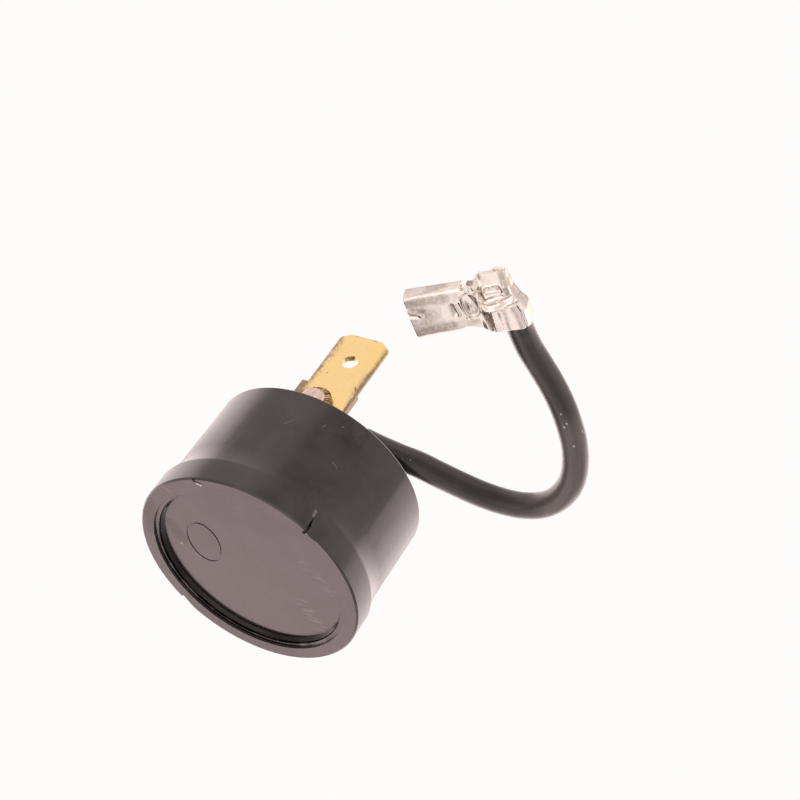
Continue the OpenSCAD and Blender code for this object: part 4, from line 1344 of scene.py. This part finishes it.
# The heights and the radius that they get, and how far the ledge moves towards the rim
WORN_RECESS_HEIGHT = 0.8
WORN_RECESS_EDGE = 13.5
LEDGE_SHIFT = 0.05
BEAD_HEIGHT = 0.52
SHALLOW_OVAL_HEIGHT = 0.975


def worn_mouth(p):
    """Makes the recess beside the slit lower and shallower, and brings the mouth's ledge nearer the rim."""
    bearing, reach = math.degrees(math.atan2(p.y, p.x)) % 360, math.hypot(p.x, p.y)
    in_recess = RECESS_BEARINGS[0] < bearing < RECESS_BEARINGS[1] and RECESS_EDGE[0] < reach < RECESS_EDGE[1]
    if in_recess and abs(p.z - RECESS_HEIGHT) < 0.05:
        grow = WORN_RECESS_EDGE / reach
        return Vector((p.x * grow, p.y * grow, WORN_RECESS_HEIGHT))
    if abs(p.z - LEDGE_HEIGHT) < 0.05 and reach < LEDGE_EDGE:
        return Vector((p.x, p.y, p.z - LEDGE_SHIFT))
    return p


def filled_cover(p):
    """Turns the bevel round the cover's face into a bead of paste, and makes the oval's line shallow."""
    if abs(p.z - COVER_BEVEL_HEIGHT) < 0.05 and math.hypot(p.x, p.y) > COVER_BEVEL_EDGE:
        return Vector((p.x, p.y, BEAD_HEIGHT))
    if abs(p.z - OVAL_HEIGHT) < 0.03:
        return Vector((p.x, p.y, SHALLOW_OVAL_HEIGHT))
    return p


class PROTECTOR_OT_case(bpy.types.Operator):
    """Makes the moulded case and its cover"""
    bl_idname = "protector.case"
    bl_label = "Mould the case"

    def execute(self, context):
        settings = context.scene.protector_case
        housing = eased("housing", "case_moulding", settings.rounding, shape=worn_mouth)
        finished(housing, "case_plastic_moulded", "case_plastic", "housing")
        cover = eased("cover_disc", "cover_moulding", settings.cover_rounding, shape=filled_cover)
        finished(cover, "cover_plastic_moulded", "cover_plastic", "cover_disc")
        return {"FINISHED"}


class PROTECTOR_OT_terminals(bpy.types.Operator):
    """Makes the blade terminal, its bracket and rivet, and the lead's terminal"""
    bl_idname = "protector.terminals"
    bl_label = "Stamp the terminals"

    def execute(self, context):
        rounding = context.scene.protector_blade.rounding
        # Node, piece, material, slot and rounding of each
        pieces = (
            ("spade_tab", "blade", "blade_brass_worn", "blade_brass", rounding),
            ("tab_bracket", "blade_bracket", "bracket_brass_rolled", "bracket_brass", 0.08 * MM),
            ("tab_rivet", "blade_rivet", "rivet_metal_formed", "rivet_metal", 0.12 * MM),
            ("lead_terminal", "lead_lug", "lug_brass_stamped", "lug_brass", 0.06 * MM),
            ("lead_rivet", "lug_rivet", "contact_copper_rivet", "contact_copper", 0.10 * MM),
            ("fixed_contact_a", "contact_rivet_a", "contact_copper_rivet", "contact_copper", 0.10 * MM),
            ("fixed_contact_b", "contact_rivet_b", "contact_copper_rivet", "contact_copper", 0.10 * MM),
        )
        for node, name, surface, slot, width in pieces:
            finished(eased(node, name, width, 3), surface, slot, node)
        return {"FINISHED"}


class PROTECTOR_OT_varnish(bpy.types.Operator):
    """Puts the drop of sealing varnish over the adjusting screw"""
    bl_idname = "protector.varnish"
    bl_label = "Seal the screw"

    def execute(self, context):
        build_varnish()
        return {"FINISHED"}


class PROTECTOR_OT_spring(bpy.types.Operator):
    """Winds the spring that the snap disc presses together"""
    bl_idname = "protector.spring"
    bl_label = "Wind the spring"

    def execute(self, context):
        coil = build_spring()
        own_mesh(coil)
        return {"FINISHED"}


class PROTECTOR_OT_stage(bpy.types.Operator):
    """Builds the pale floor, the backdrop and the soft lamps"""
    bl_idname = "protector.stage"
    bl_label = "Build the stage"

    def execute(self, context):
        context.scene.view_settings.view_transform = "Standard"
        build_backdrop()
        build_floor()
        build_lamps()
        return {"FINISHED"}


class PROTECTOR_OT_finishes(bpy.types.Operator):
    """Makes the materials and gives the inner pieces theirs"""
    bl_idname = "protector.finishes"
    bl_label = "Make the finishes"

    def execute(self, context):
        build_materials()
        return {"FINISHED"}


STEPS = (
    PROTECTOR_OT_camera, PROTECTOR_OT_finishes, PROTECTOR_OT_lead, PROTECTOR_OT_case,
    PROTECTOR_OT_terminals, PROTECTOR_OT_varnish, PROTECTOR_OT_spring, PROTECTOR_OT_stage,
)


class PROTECTOR_PT_panel(bpy.types.Panel):
    """Lists the settings and the steps in the sidebar"""
    bl_label = "Overload protector"
    bl_idname = "PROTECTOR_PT_panel"
    bl_space_type = "VIEW_3D"
    bl_region_type = "UI"
    bl_category = "Protector"

    def draw(self, context):
        for name, kind in SETTINGS:
            box = self.layout.box()
            for key in kind.__annotations__:
                box.prop(getattr(context.scene, name), key)
        for step in STEPS:
            self.layout.operator(step.bl_idname)


CLASSES = (*(kind for _, kind in SETTINGS), *STEPS, PROTECTOR_PT_panel)


def register():
    for kind in CLASSES:
        bpy.utils.register_class(kind)
    for name, kind in SETTINGS:
        setattr(bpy.types.Scene, name, PointerProperty(type=kind))


def unregister():
    for name, _ in SETTINGS:
        delattr(bpy.types.Scene, name)
    for kind in reversed(CLASSES):
        bpy.utils.unregister_class(kind)


def main():
    register()
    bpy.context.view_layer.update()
    bpy.ops.protector.camera()
    bpy.ops.protector.finishes()
    bpy.ops.protector.lead()
    bpy.ops.protector.case()
    bpy.ops.protector.terminals()
    bpy.ops.protector.varnish()
    bpy.ops.protector.spring()
    bpy.ops.protector.stage()


if __name__ == "__main__":
    main()
